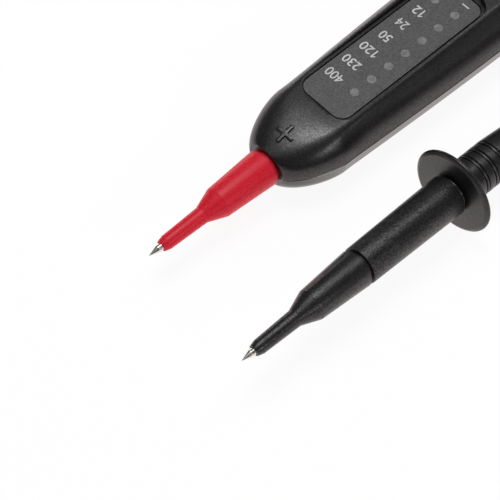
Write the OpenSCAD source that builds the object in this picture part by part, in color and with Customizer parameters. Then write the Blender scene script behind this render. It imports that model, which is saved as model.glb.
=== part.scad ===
// Two-pole voltage tester: a display handle with a red tip, and a probe handle with a finger guard.
// Millimetres, +Z up. The display handle lies along X with its tip at -X, on its flat underside.

/* [Main housing] */
// Length of the display handle's housing, nose to tail
housing_len = 152; // [140:1:170]
// Height of the tip axis above the table
axis_z = 10.5; // [10.3:0.1:12]
// Wall thickness of the two shells
wall = 2; // [1.8:0.1:2.3]
// Radius of the nose face round the tip sleeve
nose_r = 5.8; // [5.6:0.1:6.4]
// Length over which the nose swells to the full section
nose_len = 15.5; // [14:0.5:17]
// Half width just behind the nose
front_half_w = 13.35; // [13:0.05:14]
// Half width at the widest place
wide_half_w = 15.2; // [14.4:0.1:16]
// Distance from the nose to the widest place
wide_at = 79; // [70:1:90]
// Half width before the tail rounds off
tail_half_w = 11.5; // [11:0.1:12.5]
// Length of the rounded tail
tail_len = 16; // [14:1:20]
// Radius of the tail face
tail_r = 6.6; // [6.2:0.1:7]
// Height of the deck over the axis at the display's nose end
deck_front = 9.1; // [9.05:0.05:9.4]
// Height of the deck over the axis at the display's tail end
deck_back = 10.75; // [10.5:0.05:11.2]
// Height of the deck over the axis at the tail
deck_tail = 9.3; // [9:0.1:10]
// Half width of the flat deck
deck_half_w = 9.45; // [9.3:0.05:9.75]
// Radius of the crease between the deck and the shoulder
crease_r = 2.4; // [2.1:0.1:2.7]
// Height of the tongue that locates the two shells
tongue_h = 0.9; // [0.6:0.1:1.2]

/* [Display] */
// Distance from the nose to the display panel
panel_from_nose = 18.1; // [17.7:0.1:19]
// Length of the display panel
panel_len = 51.5; // [50:0.1:54]
// Width of the display panel
panel_w = 15.6; // [15:0.1:15.8]
// Corner radius of the display panel
panel_corner = 3.2; // [2:0.1:4]
// Thickness of the display panel
panel_t = 0.8; // [0.6:0.1:1]
// Height of the panel's face over the axis
panel_z = 8.95; // [8.8:0.05:8.95]
// Distance from the panel's nose end to the first lamp
first_lamp = 8.8; // [8:0.1:9]
// Distance between neighbouring lamps
lamp_pitch = 6; // [5.6:0.1:6.1]
// Number of lamps in the long column
lamp_rows = 7; // [7]
// Diameter of a lamp window
lamp_d = 2.5; // [2:0.1:2.8]
// Offset of the long column from the handle's centre line
lamp_y = 3.35; // [3.2:0.05:3.6]
// Offset of the single lamp of the second column
second_lamp_y = 3.65; // [3.5:0.05:3.8]

/* [Probe tips] */
// Diameter of the metal probe pin
pin_d = 2; // [1.8:0.1:2.2]
// Length of pin left bare in front of the sleeve
pin_bare = 3.9; // [3:0.1:4]
// Length of the pin's conical point
pin_point = 2.8; // [2:0.1:2.9]
// Radius of the sleeve's mouth
mouth_r = 1.5; // [1.4:0.05:1.7]
// Radius of the narrow tube behind the mouth's chamfer
tube_front_r = 1.95; // [1.85:0.05:2.1]
// Radius of the narrow tube where the cone begins
tube_back_r = 2.25; // [2.2:0.05:2.4]
// Length of the narrow tube with its chamfer
tube_len = 13.2; // [12:0.1:14]
// Length of the cone between tube and body
cone_len = 5.4; // [4.5:0.1:6]
// Radius of the sleeve's body at the cone
body_front_r = 4.22; // [4:0.05:4.4]
// Radius of the sleeve's body at its back
body_back_r = 5.1; // [4.95:0.05:5.3]
// Length of the sleeve's body
body_len = 15.3; // [14:0.1:17]
// Width of the open ring between sleeve and handle
ring_gap = 0.9; // [0.6:0.1:1.2]
// Radius of the spigot that enters the handle
spigot_r = 4.3; // [4.1:0.05:4.4]
// Length of the spigot inside the handle
spigot_len = 6; // [5:0.5:7]

/* [Second probe] */
// Length of the front barrel
barrel_len = 31.1; // [29:0.1:34]
// Radius of the barrel's front face
barrel_front_r = 5.15; // [5.1:0.05:5.3]
// Radius of the barrel's back end
barrel_back_r = 5.6; // [5.5:0.05:5.8]
// Radius of the finger guard
guard_r = 11.9; // [11:0.1:13]
// Thickness of the finger guard at its rim
guard_t = 1.5; // [1.2:0.1:2]
// Distance from barrel to finger guard
guard_gap = 1; // [0.6:0.1:1.4]
// Length of the grip behind the guard
grip_len = 100; // [90:1:110]
// Radius of the grip between the guard and the waist
grip_neck_r = 5.7; // [5.5:0.05:6]
// Radius of the waist behind the grooves
grip_waist_r = 5.1; // [5:0.05:5.4]
// Radius of the grip where it is thickest
grip_r = 6.3; // [6:0.05:6.6]
// Distance from guard to the first groove
groove_start = 6.05; // [5.5:0.05:7]
// Distance between neighbouring grooves
groove_pitch = 3.3; // [3.1:0.1:3.6]
// Number of finger grooves
groove_count = 3; // [2:1:5]
// Depth of a groove
groove_depth = 0.35; // [0.25:0.05:0.45]
// Width of a groove
groove_w = 1.1; // [0.8:0.1:1.4]

/* [Leads] */
// Diameter of the lead that enters each handle
lead_d = 5; // [4:0.1:5.4]
// Outer radius of the soft bush at each lead inlet
bush_r = 5.2; // [4.9:0.1:5.4]

/* [Placement] */
// Distance between the two handles' axes at their tips
spacing = 38.4; // [34:0.1:45]
// How far the second tip lies in front of the first
second_lead = 5.1; // [0:0.1:12]
// Angle between the two handles
splay = 0.7; // [0:0.1:3]

/* [Fits] */
// Gap all round a piece that is pushed or screwed in
snug = 0.05; // [0.03:0.01:0.1]
// Gap all round a piece that drops in freely
loose = 0.2; // [0.15:0.05:0.25]

/* [Hidden] */
$fn = 64;

// Small edges that moulded and turned pieces share
edge = 0.3;
// How far a cutting solid runs past the piece it cuts
clear = 3;

// Where things lie along a handle, from the point of its pin
sleeve_start = pin_bare;
tube_end = sleeve_start + tube_len;
cone_end = tube_end + cone_len;
body_end = cone_end + body_len;
handle_start = body_end + ring_gap;
spigot_end = handle_start + spigot_len;
mouth_chamfer = 1.7;
// Snap collar on the spigot, which the handle's groove holds
collar_rise = 0.5;
collar_w = 1.4;
collar_at = handle_start + spigot_len / 2;

// Pin: a thicker head behind the sleeve keeps it from being pulled out
pin_r = pin_d / 2;
pin_head_r = pin_r + 0.8;
pin_head_len = 2;
pin_tail = 5;
pin_head_at = spigot_end;
pin_end = pin_head_at + pin_head_len + pin_tail;

// Solid nose of the housing, and the terminal that receives the pin's back end
terminal_r = pin_head_r + 0.6;
terminal_end = pin_end + 0.5;
block_len = pin_head_at + pin_head_len - handle_start + 4;
tab_t = 0.5;
tab_half_w = 1.3;
tab_lap = 2.5;
riser_t = 1;

// Shape of the housing's full section
deck_crown = 0.1;
deck_widening = 0.35;
shoulder_h = 4.95;
shoulder_in = 1;
shoulder_round = 24;
// The nose climbs to the deck over a longer way than it widens, and its crease sharpens late
climb_len = nose_len + 1.5;
crease_to = nose_len + 10.5;
floor_half_w = 7.2;
floor_widening = 0.5;
floor_round = 7;
bilge_depth = 5.8;
bilge_in = 1.1;
bilge_round = 6;
// How deep the flat underside is trimmed off the rounded skin
foot_trim = 0.3;

// Housing screws: [distance from the nose, offset from the centre line]
boss_r = 3.4;
pillar_r = 2.7;
screw_r = 1.3;
screw_top = 5.4;
head_r = 2.3;
head_t = 1.7;
head_depth = 4;
head_seat = head_depth - axis_z;
driver_w = 0.6;
driver_len = 2.6;
driver_depth = 1;
front_screw_at = block_len + boss_r + 0.8;
front_screw_y = 5;
screw_behind_panel = 6.2;
screw_before_tail = 18;
mid_screw_at = panel_from_nose + panel_len + screw_behind_panel;
back_screw_at = housing_len - screw_before_tail;
screw_places = [[front_screw_at, front_screw_y], [front_screw_at, -front_screw_y],
    [mid_screw_at, 0], [back_screw_at, 0]];

// Circuit board and the pieces stacked under the display
board_t = 1.6;
board_low = 0.6;
board_top = board_low + board_t;
board_half_w = 10;
board_start = front_screw_at + boss_r + 0.4;
panel_gap = 0.4;
// Flat rim beside the panel's seat, sunk into the rising deck, and the notch in its tail end
rim_margin = 0.85;
rim_from = panel_from_nose + 5;
notch_w = 9.8;
notch_depth = 0.9;
panel_mid = panel_from_nose + panel_len / 2;
panel_low = panel_z - panel_t;
seat_len = panel_len + 2 * panel_gap;
seat_w = panel_w + 2 * panel_gap;
rim_to = panel_mid + seat_len / 2 + rim_margin;
roof_t = 1.4;
roof_z = panel_low - roof_t;
guide_t = 1.9;
guide_low = panel_low - guide_t;
guide_margin = 2.3;
guide_corner = 2;
guide_half_w = second_lamp_y + lamp_d / 2 + 0.9;
shroud_margin = 3.4;
shroud_corner = 1.5;
shroud_start = panel_from_nose + first_lamp - shroud_margin;
shroud_len = (lamp_rows - 1) * lamp_pitch + 2 * shroud_margin;
shroud_half_w = guide_half_w + 0.5;

// Lamps: the long column, then the one beside its last lamp
lamp_size = [2.4, 1.6, 1];
lens_r = 0.7;
lens_h = 0.5;
lamp_r = lamp_d / 2;
well_r = 1.8;
lamp_places = concat(
    [for (i = [0 : lamp_rows - 1]) [panel_from_nose + first_lamp + i * lamp_pitch, -lamp_y]],
    [[panel_from_nose + first_lamp + (lamp_rows - 1) * lamp_pitch, second_lamp_y]]);

// Pieces soldered on the board behind the display, in a row with gaps between them
part_gap = 1.3;
chip_size = [10, 4, 1.6];
chip_at = mid_screw_at + boss_r + 4.6;
leg_count = 8;
leg_pitch = 1.27;
leg_size = [0.4, 1, 0.5];
rectifier_size = [4.7, 3.8, 2.4];
rectifier_at = chip_at + chip_size[0] + 3;
blade_size = [0.7, 0.9, 0.4];
capacitor_r = 2.3;
capacitor_len = 6.5;
capacitor_at = rectifier_at + rectifier_size[0] + part_gap;
melf_r = 1.1;
melf_len = 6;
melf_cap = 1;
melf_pitch = melf_len + 3;
melf_y = 6.2;
thermistor_r = 2;
thermistor_h = 3.2;
thermistor_at = chip_at + melf_pitch + melf_len + part_gap + thermistor_r;
thermistor_y = 5.8;
lug_size = [3.5, 3, 0.6];
lug_h = 3;
lug_t = 0.7;
lug_at = capacitor_at + capacitor_len + part_gap;
board_end = lug_at + lug_size[0] + 0.5;
board_len = board_end - board_start;

// Bottom shell: its inner floor and the ribs that carry the board
floor_z = wall - axis_z;
rib_t = 1.5;
rib_half_w = 6;
rib_inset = 3;
rib_places = [board_start + rib_inset, panel_mid, chip_at, board_end - rib_inset - rib_t];
// How far bosses, pillars and ribs reach into the wall they stand on
root = 0.8;

// Lead inlets
lead_r = lead_d / 2;
bush_neck_r = bush_r - 1.2;
bush_flange = 1.5;
bush_end = 2;
tail_block = 8;
cavity_start = block_len;
cavity_end = housing_len - tail_block;

// Second probe, from the point of its pin
barrel_start = handle_start;
barrel_end = barrel_start + barrel_len;
guard_start = barrel_end + guard_gap;
guard_end = guard_start + guard_t;
guard_foot = guard_end - 0.35;
guard_bevel = 1.2;
grip_end = guard_end + grip_len;
grip_tail_r = 6.6;
last_groove = groove_start + (groove_count - 1) * groove_pitch;
waist_at = last_groove + 11.5;
thick_at = 0.6 * grip_len;
tail_ring = 3;
tail_taper = 0.6;
neck_fillet = 0.8;
grip_spigot_r = 4.3;
grip_spigot_len = 10;
grip_bore_r = 3.1;
bush_room = 2;
lip = 0.1;
// Pieces inside the second probe
socket_end = pin_end + 1.5;
socket_r = grip_bore_r - snug;
cup_r = 1.2;
cup_len = 2;
wire_r = 0.4;
resistor_r = 1.9;
resistor_len = 11;
resistor_at = socket_end + cup_len + 1;
crimp_r = 1.4;
crimp_len = 6;
crimp_at = resistor_at + resistor_len + 1.5;
wire_in_crimp = 2.5;
core_r = 0.8;
core_len = 2.6;
// Angle at which the second probe lies on its guard and its tail
rest_angle = atan((guard_r - grip_tail_r) / (grip_end - tail_ring - guard_foot));
second_tip_z = guard_r * cos(rest_angle) + guard_foot * sin(rest_angle);

// Share of the full section reached at a way t along a rounded end
function swell(t, p) = pow(1 - pow(1 - min(1, max(0, t)), p), 1 / p);
function mix(a, b, t) = a + (b - a) * t;
function ease_out(t) = t * (1.5 - 0.5 * t * t);
function ease(t) = t * t * (3 - 2 * t);
function part_way(x, a, b) = min(1, max(0, (x - a) / (b - a)));

// Half width of the housing at a distance x from the nose, ends left aside
function half_width(x) = x < wide_at
    ? mix(front_half_w, wide_half_w, ease_out(part_way(x, nose_len + 2.5, wide_at)))
    : mix(wide_half_w, tail_half_w, ease(part_way(x, wide_at, housing_len)));

// Height of the deck over the axis at a distance x from the nose
function deck_height(x) = let(panel_end = panel_from_nose + panel_len) x < panel_end
    ? mix(deck_front, deck_back, part_way(x, panel_from_nose, panel_end))
    : mix(deck_back, deck_tail, ease(part_way(x, panel_end, housing_len)));

// How much of the full section is reached at x: the nose is bluff, the tail is elliptical
function fullness(x) = min(swell(x / nose_len, 1.5), swell((housing_len - x) / tail_len, 2));
function rise(x) = min(1 - pow(1 - part_way(x, 0, climb_len), 2),
    swell((housing_len - x) / tail_len, 2));
function crispness(x) = min(ease(part_way(x, 0, crease_to)),
    swell((housing_len - x) / tail_len, 2));
function end_radius(x) = x < housing_len / 2 ? nose_r : tail_r;

// Corners of one quarter of the section, from the middle of the deck or the floor to the
// parting line, for a skin that lies a given depth below the outer face
function deck_corners(x, depth, top) = let(w = half_width(x)) [
    [0, top + deck_crown],
    [deck_half_w + deck_widening * (w - front_half_w) - 0.6 * depth, top],
    [w - shoulder_in - depth, shoulder_h + 0.4 * (top - deck_front)], [w - depth, 0]];
function floor_corners(x, depth, low) = let(w = half_width(x)) [
    [0, low], [floor_half_w + floor_widening * (w - front_half_w) - 0.5 * depth, low],
    [w - bilge_in - depth, -bilge_depth], [w - depth, 0]];
function octagon_corners(r, side) = let(t = tan(22.5)) [
    [0, side * r], [t * r, side * r], [r, side * t * r], [r, 0]];
function mixed_corners(a, b, t, up) = [for (i = [0 : 3])
    [mix(a[i][0], b[i][0], t), mix(a[i][1], b[i][1], up)]];

// Rounds the corner b between a and c with radius r, in count points; the arc takes at most
// the shares share_a and share_c of the two sides
function rounded(a, b, c, r, count, share_a, share_c) = let(
    u = (a - b) / norm(a - b), v = (c - b) / norm(c - b),
    half = acos(max(-1, min(1, u * v))) / 2,
    reach = min(r / tan(half), share_a * norm(a - b), share_c * norm(c - b)),
    radius = reach * tan(half), centre = b + (u + v) / norm(u + v) * radius / sin(half),
    from = b + u * reach - centre, to = b + v * reach - centre,
    start = atan2(from[1], from[0]), turn = atan2(to[1], to[0]) - start,
    sweep = turn > 180 ? turn - 360 : turn < -180 ? turn + 360 : turn)
    [for (i = [0 : count - 1]) let(t = start + sweep * i / (count - 1))
        centre + radius * [cos(t), sin(t)]];

// One quarter of the section as points from the middle to the parting line. The first arc
// takes a given share of the flank between the two corners, the second arc what is left
corner_points = 5;
most = 0.97;
middle = 0.49;
crease_share = 0.33;
function quarter(corners, r1, r2, share) = concat([corners[0]],
    rounded(corners[0], corners[1], corners[2], r1, corner_points, most, share),
    rounded(corners[1], corners[2], corners[3], r2, corner_points, 0.98 - share, most),
    [corners[3]]);

// Draws a quarter towards a dome where the crease has not sharpened yet; the dome's power
// grows from the nose face on, which makes it squarer
dome_first = 2.45;
dome_last = 2.75;
function softened(q, n, crisp) = let(w = q[len(q) - 1][0], h = q[0][1]) [for (p = q)
    p * mix(pow(pow(p[0] / w, n) + pow(p[1] / h, n), -1 / n), 1, crisp)];

// The upper or lower quarter at x for a skin at a given depth, up to top or down to low
function upper_quarter(x, depth, top) = let(t = fullness(x), crisp = crispness(x),
    r = end_radius(x) - depth)
    softened(quarter(
        mixed_corners(octagon_corners(r, 1), deck_corners(x, depth, top), t, rise(x)),
        mix(r, crease_r, crisp), mix(r, shoulder_round, t), mix(middle, crease_share, crisp)),
        mix(dome_first, dome_last, part_way(x, 0, block_len)), crisp);
function lower_quarter(x, depth, low) = let(t = fullness(x), r = end_radius(x) - depth)
    quarter(mixed_corners(octagon_corners(r, -1), floor_corners(x, depth, low), t, t),
        mix(r, floor_round, t), mix(r, bilge_round, t), middle);

// A half section from +Y to -Y, out of a quarter that ends at the parting line
function reversed(list) = [for (i = [len(list) - 1 : -1 : 0]) list[i]];
function half_section(q) = concat(reversed(q),
    [for (i = [1 : len(q) - 1]) [-q[i][0], q[i][1]]]);

// Stations along the housing, close together where the ends round off
nose_steps = 9;
middle_steps = 12;
tail_steps = 7;
stations = concat(
    [for (i = [0 : nose_steps - 1]) nose_len * (1 - cos(90 * i / nose_steps))],
    [for (i = [0 : middle_steps]) mix(nose_len, housing_len - tail_len, i / middle_steps)],
    [for (i = [1 : tail_steps]) housing_len - tail_len * (1 - sin(90 * i / tail_steps))]);
function inner_station(x) = mix(cavity_start, cavity_end, x / housing_len);

// The parting rim steps half way through the wall, so that the shells interlock
rim = wall / 2;
function top_rim(w) = [[w - rim, 0], [w - rim, tongue_h + snug]];
function bottom_rim(w) = [[w - rim - snug, 0], [w - rim - snug, tongue_h], [w - wall, tongue_h]];
function mirrored(list) = [for (p = list) [-p[0], p[1]]];

// A shell as one closed mesh: outer skin, stepped rim and inner skin, station by station
module shell_mesh(upper) {
    outer_count = 4 * (corner_points + 1) - 1;
    rims = upper ? 2 : 3;
    rings = [for (x = stations)
        let(xi = inner_station(x),
            w = mix(end_radius(xi), half_width(xi), fullness(xi)),
            skin = upper ? upper_quarter(x, 0, deck_height(x))
                : lower_quarter(x, 0, -axis_z - foot_trim),
            lining = upper ? upper_quarter(xi, wall, roof_z)
                : lower_quarter(xi, wall, floor_z),
            last = len(lining) - 1,
            lining_end = upper ? [w - wall, tongue_h + snug] : [w - wall, 0],
            inner = [for (i = [0 : last]) i < last ? lining[i] : lining_end],
            rim_points = upper ? top_rim(w) : bottom_rim(w))
        concat([for (p = half_section(skin)) [x, p[0], p[1]]],
            [for (p = concat(mirrored(rim_points), reversed(half_section(inner)),
                reversed(rim_points))) [xi, p[0], p[1]]])];
    size = len(rings[0]);
    last_ring = len(rings) - 1;
    first_rim = outer_count;
    first_lining = first_rim + rims;
    end_lining = size - rims - 1;
    sides = [for (i = [0 : last_ring - 1]) for (k = [0 : size - 1])
        let(a = i * size + k, b = i * size + (k + 1) % size, c = b + size, d = a + size)
        for (f = [[a, d, c], [a, c, b]]) f];
    function cap(at, list) = [for (k = list) at * size + k];
    outer_face = [for (k = [0 : outer_count - 1]) k];
    cavity_face = upper ? [for (k = [first_rim : size - 1]) k]
        : [for (k = [first_lining : end_lining]) k];
    rim_faces = upper ? [[0, outer_count - 1, first_rim, size - 1]]
        : [[outer_count - 1, first_rim, first_lining],
            [0, outer_count - 1, first_lining, end_lining], [0, end_lining, size - 1]];
    tongue_faces = upper ? []
        : [[for (k = [first_rim : first_lining]) k], [for (k = [end_lining : size - 1]) k]];
    ends = concat([outer_face, cavity_face], rim_faces, tongue_faces);
    faces = concat(sides, [for (f = ends) cap(0, f)],
        [for (f = ends) reversed(cap(last_ring, f))]);
    points = [for (ring = rings) for (p = ring) p];
    polyhedron(points, upper ? faces : [for (f = faces) reversed(f)]);
}

// Frames of the two handles
module main_frame() {
    translate([-housing_len / 2, 0, axis_z]) children();
}
module main_tip_frame() {
    main_frame() translate([-handle_start, 0, 0]) children();
}
module second_frame() {
    translate([-housing_len / 2 - handle_start - second_lead, -spacing, second_tip_z])
        rotate([0, rest_angle, splay]) children();
}

// A turned piece along X from a profile of [radius, distance] points
module turned(profile) {
    rotate([0, 90, 0]) rotate_extrude() polygon(profile);
}
module rod(r, from, to) {
    translate([from, 0, 0]) rotate([0, 90, 0]) cylinder(r = r, h = to - from);
}
module rounded_plate(length, width, corner, low, high) {
    translate([-length / 2, -width / 2, low]) linear_extrude(high - low)
        for (x = [corner, length - corner]) for (y = [corner, width - corner]) {
            translate([x, y]) circle(corner);
            translate([corner, 0]) square([length - 2 * corner, width]);
            translate([0, corner]) square([length, width - 2 * corner]);
        }
}

// Space that the tip sleeve's spigot and the pin's terminal take in the nose
module nose_bore() {
    spigot = spigot_r + snug;
    collar = spigot + collar_rise;
    from = collar_at - handle_start;
    rod(spigot, -1, spigot_len + snug);
    rod(collar, from - collar_w / 2 - snug, from + collar_w / 2 + snug);
    rod(terminal_r + snug, spigot_len, cavity_start + 1);
}
module tail_bore() {
    rod(bush_neck_r + snug, cavity_end - 1, housing_len + 1);
}

module top_shell() {
    color([0.09, 0.09, 0.1]) main_frame() difference() {
        union() {
            shell_mesh(true);
            for (s = screw_places) translate([s[0], s[1], 0])
                cylinder(r = pillar_r, h = roof_z + root);
        }
        translate([(rim_from + rim_to) / 2, 0, 0])
            rounded_plate(rim_to - rim_from, seat_w + 2 * rim_margin,
                panel_corner + panel_gap + rim_margin, panel_z, deck_back + clear);
        translate([rim_to - clear, -notch_w / 2, panel_z])
            cube([clear + notch_depth, notch_w, deck_back + clear - panel_z]);
        translate([panel_mid, 0, 0]) {
            rounded_plate(seat_len, seat_w, panel_corner + panel_gap, panel_low, panel_z + 1);
            rounded_plate(panel_len - 2 * guide_margin + 2 * loose,
                2 * guide_half_w + 2 * loose, guide_corner, roof_z - 2, panel_low + 1);
        }
        for (s = screw_places) translate([s[0], s[1], -1])
            cylinder(r = screw_r + snug, h = 1 + screw_top + 0.5);
        nose_bore();
        tail_bore();
    }
}

module bottom_shell() {
    color([0.1, 0.1, 0.11]) main_frame() difference() {
        union() {
            shell_mesh(false);
            for (s = screw_places) translate([s[0], s[1], floor_z - root])
                cylinder(r = boss_r, h = root - floor_z - loose);
            for (x = rib_places) translate([x - rib_t / 2, -rib_half_w, floor_z - root])
                cube([rib_t, 2 * rib_half_w, board_low + root - floor_z]);
        }
        translate([-clear, -wide_half_w - clear, -axis_z - clear])
            cube([housing_len + 2 * clear, 2 * (wide_half_w + clear), clear]);
        for (s = screw_places) translate([s[0], s[1], -axis_z - 1]) {
            cylinder(r = head_r + loose, h = head_seat + axis_z + 1);
            cylinder(r = screw_r + loose, h = axis_z + 2);
        }
        nose_bore();
        tail_bore();
    }
}

module display_panel() {
    color([0.33, 0.33, 0.34]) main_frame() difference() {
        translate([panel_mid, 0, 0])
            rounded_plate(panel_len, panel_w, panel_corner, panel_low, panel_z);
        for (p = lamp_places) translate([p[0], p[1], panel_low - 1])
            cylinder(r = lamp_r + snug, h = panel_t + 2);
    }
}

module light_guide() {
    color([0.55, 0.55, 0.55]) main_frame() {
        translate([panel_mid, 0, 0]) rounded_plate(panel_len - 2 * guide_margin,
            2 * guide_half_w, guide_corner - loose, guide_low, panel_low);
        for (p = lamp_places) translate([p[0], p[1], guide_low])
            cylinder(r = lamp_r, h = panel_z - guide_low);
    }
}

module lamp_shroud() {
    color([0.14, 0.14, 0.15]) main_frame() difference() {
        translate([shroud_start + shroud_len / 2, 0, 0]) rounded_plate(shroud_len,
            2 * shroud_half_w, shroud_corner, board_top, guide_low);
        for (p = lamp_places) translate([p[0], p[1], board_top - 1])
            cylinder(r = well_r, h = guide_low - board_top + 2);
    }
}

module circuit_board() {
    color([0.1, 0.35, 0.2]) main_frame() difference() {
        translate([board_start, -board_half_w, board_low])
            cube([board_len, 2 * board_half_w, board_t]);
        translate([mid_screw_at, 0, board_low - 1])
            cylinder(r = boss_r + loose, h = board_t + 2);
    }
}

// A lamp: a flat package with a round lens
module lamp(place) {
    color([0.95, 0.9, 0.7]) main_frame() translate([place[0], place[1], board_top]) {
        translate([-lamp_size[0] / 2, -lamp_size[1] / 2, 0]) cube(lamp_size);
        cylinder(r = lens_r, h = lamp_size[2] + lens_h);
    }
}

module controller_chip() {
    color([0.08, 0.08, 0.09]) main_frame() translate([chip_at, -chip_size[1] / 2, board_top]) {
        translate([0, 0, 0.15]) cube(chip_size);
        for (i = [0 : leg_count - 1])
            translate([0.35 + i * leg_pitch, -leg_size[1], 0])
                cube([leg_size[0], chip_size[1] + 2 * leg_size[1], leg_size[2]]);
    }
}

module bridge_rectifier() {
    color([0.12, 0.12, 0.12]) main_frame()
        translate([rectifier_at, -rectifier_size[1] / 2, board_top]) {
            translate([0, 0, 0.1]) cube(rectifier_size);
            for (x = [edge, rectifier_size[0] - edge - blade_size[0]])
                translate([x, -blade_size[1], 0])
                    cube([blade_size[0], rectifier_size[1] + 2 * blade_size[1], blade_size[2]]);
        }
}

module smoothing_capacitor() {
    color([0.2, 0.25, 0.4]) main_frame()
        translate([capacitor_at, 0, board_top + capacitor_r]) rod(capacitor_r, 0, capacitor_len);
}

// Power resistors in two rows either side of the chip
module series_resistor(index) {
    color([0.6, 0.25, 0.2]) main_frame() translate([chip_at + (index % 2) * melf_pitch,
        index < 2 ? melf_y : -melf_y, board_top + melf_r]) {
            rod(melf_r - 0.15, 0, melf_len);
            rod(melf_r, 0, melf_cap);
            rod(melf_r, melf_len - melf_cap, melf_len);
        }
}

module thermistor(side) {
    color([0.75, 0.65, 0.2]) main_frame()
        translate([thermistor_at, side * thermistor_y, board_top])
            cylinder(r = thermistor_r, h = thermistor_h);
}

// Lug that the lead is soldered to
module lead_terminal() {
    color([0.8, 0.7, 0.4]) main_frame()
        translate([lug_at, -lug_size[1] / 2, board_top]) {
            cube(lug_size);
            translate([lug_size[0] - lug_t, 0, 0]) cube([lug_t, lug_size[1], lug_h]);
        }
}

// Nose terminal: a socket for the pin and a tab that lies on the board
module tip_terminal() {
    from = pin_head_at - handle_start + snug;
    to = terminal_end - handle_start;
    riser_low = pin_r + edge;
    color([0.8, 0.7, 0.4]) main_frame() difference() {
        union() {
            rod(terminal_r, from, to);
            translate([to - riser_t, -tab_half_w, riser_low])
                cube([riser_t, 2 * tab_half_w, board_top + tab_t - riser_low]);
            translate([to - riser_t, -tab_half_w, board_top])
                cube([board_start + tab_lap - to + riser_t, 2 * tab_half_w, tab_t]);
        }
        rod(pin_head_r + snug, 0, pin_head_at + pin_head_len + snug - handle_start);
        rod(pin_r + snug, 0, pin_end + snug - handle_start);
    }
}

module tip_sleeve() {
    collar = collar_w / 2;
    turned([
        [pin_r + snug, sleeve_start], [mouth_r, sleeve_start],
        [tube_front_r, sleeve_start + mouth_chamfer], [tube_back_r, tube_end],
        [body_front_r, cone_end], [body_back_r, body_end], [spigot_r, body_end],
        [spigot_r, collar_at - collar], [spigot_r + collar_rise, collar_at - edge],
        [spigot_r + collar_rise, collar_at + edge], [spigot_r, collar_at + collar],
        [spigot_r, spigot_end], [pin_r + snug, spigot_end]]);
}

module probe_pin() {
    turned([
        [0, 0], [pin_r, pin_point], [pin_r, pin_head_at], [pin_head_r, pin_head_at],
        [pin_head_r, pin_head_at + pin_head_len], [pin_r, pin_head_at + pin_head_len],
        [pin_r, pin_end], [0, pin_end]]);
}
module red_tip_sleeve() {
    color([0.72, 0.09, 0.14]) main_tip_frame() tip_sleeve();
}
module main_probe_pin() {
    color([0.8, 0.8, 0.78]) main_tip_frame() probe_pin();
}
module black_tip_sleeve() {
    color([0.12, 0.12, 0.12]) second_frame() tip_sleeve();
}
module second_probe_pin() {
    color([0.8, 0.8, 0.78]) second_frame() probe_pin();
}

module housing_screw(place) {
    color([0.6, 0.6, 0.62]) main_frame() translate([place[0], place[1], head_seat]) difference() {
        union() {
            translate([0, 0, -head_t]) cylinder(r = head_r, h = head_t);
            cylinder(r = screw_r, h = screw_top - head_seat);
        }
        for (a = [0, 90]) rotate(a)
            translate([-driver_len / 2, -driver_w / 2, -head_t - 1])
                cube([driver_len, driver_w, 1 + driver_depth]);
    }
}

// Soft bush with a groove that the handle's end wall snaps into
module lead_bush(wall_start, wall_end) {
    turned([
        [lead_r, wall_start - bush_flange], [bush_r, wall_start - bush_flange],
        [bush_r, wall_start - snug], [bush_neck_r, wall_start - snug],
        [bush_neck_r, wall_end + snug], [bush_r, wall_end + snug],
        [bush_r - edge, wall_end + bush_end], [lead_r, wall_end + bush_end]]);
}
module main_lead_bush() {
    color([0.07, 0.07, 0.07]) main_frame() lead_bush(cavity_end, housing_len);
}

module probe_barrel() {
    spigot = spigot_r + snug;
    groove = spigot + collar_rise;
    half = collar_w / 2 + snug;
    socket = grip_spigot_r + snug;
    socket_floor = barrel_end - grip_spigot_len - snug;
    color([0.13, 0.13, 0.13]) second_frame() turned([
        [spigot, barrel_start], [barrel_front_r - edge, barrel_start],
        [barrel_front_r, barrel_start + edge], [barrel_back_r, barrel_end - edge],
        [barrel_back_r - edge, barrel_end], [socket, barrel_end], [socket, socket_floor],
        [grip_bore_r, socket_floor], [grip_bore_r, spigot_end + snug],
        [spigot, spigot_end + snug], [spigot, collar_at + half], [groove, collar_at + half],
        [groove, collar_at - half], [spigot, collar_at - half]]);
}

// Outer radius of the grip at a distance x behind the guard, grooves left aside
function grip_radius(x) = x < waist_at
    ? mix(grip_neck_r, grip_waist_r, ease(part_way(x, last_groove, waist_at)))
    : x < thick_at ? mix(grip_waist_r, grip_r, ease(part_way(x, waist_at, thick_at)))
    : mix(grip_r, grip_neck_r, ease(part_way(x, thick_at, grip_len - tail_block)));
function groove_profile(x) = let(r = grip_radius(x), low = r - groove_depth,
    half = groove_w / 2, quarter_w = 0.35 * groove_w) [
    [r, x - half], [low, x - quarter_w], [low, x + quarter_w], [r, x + half]];

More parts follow.
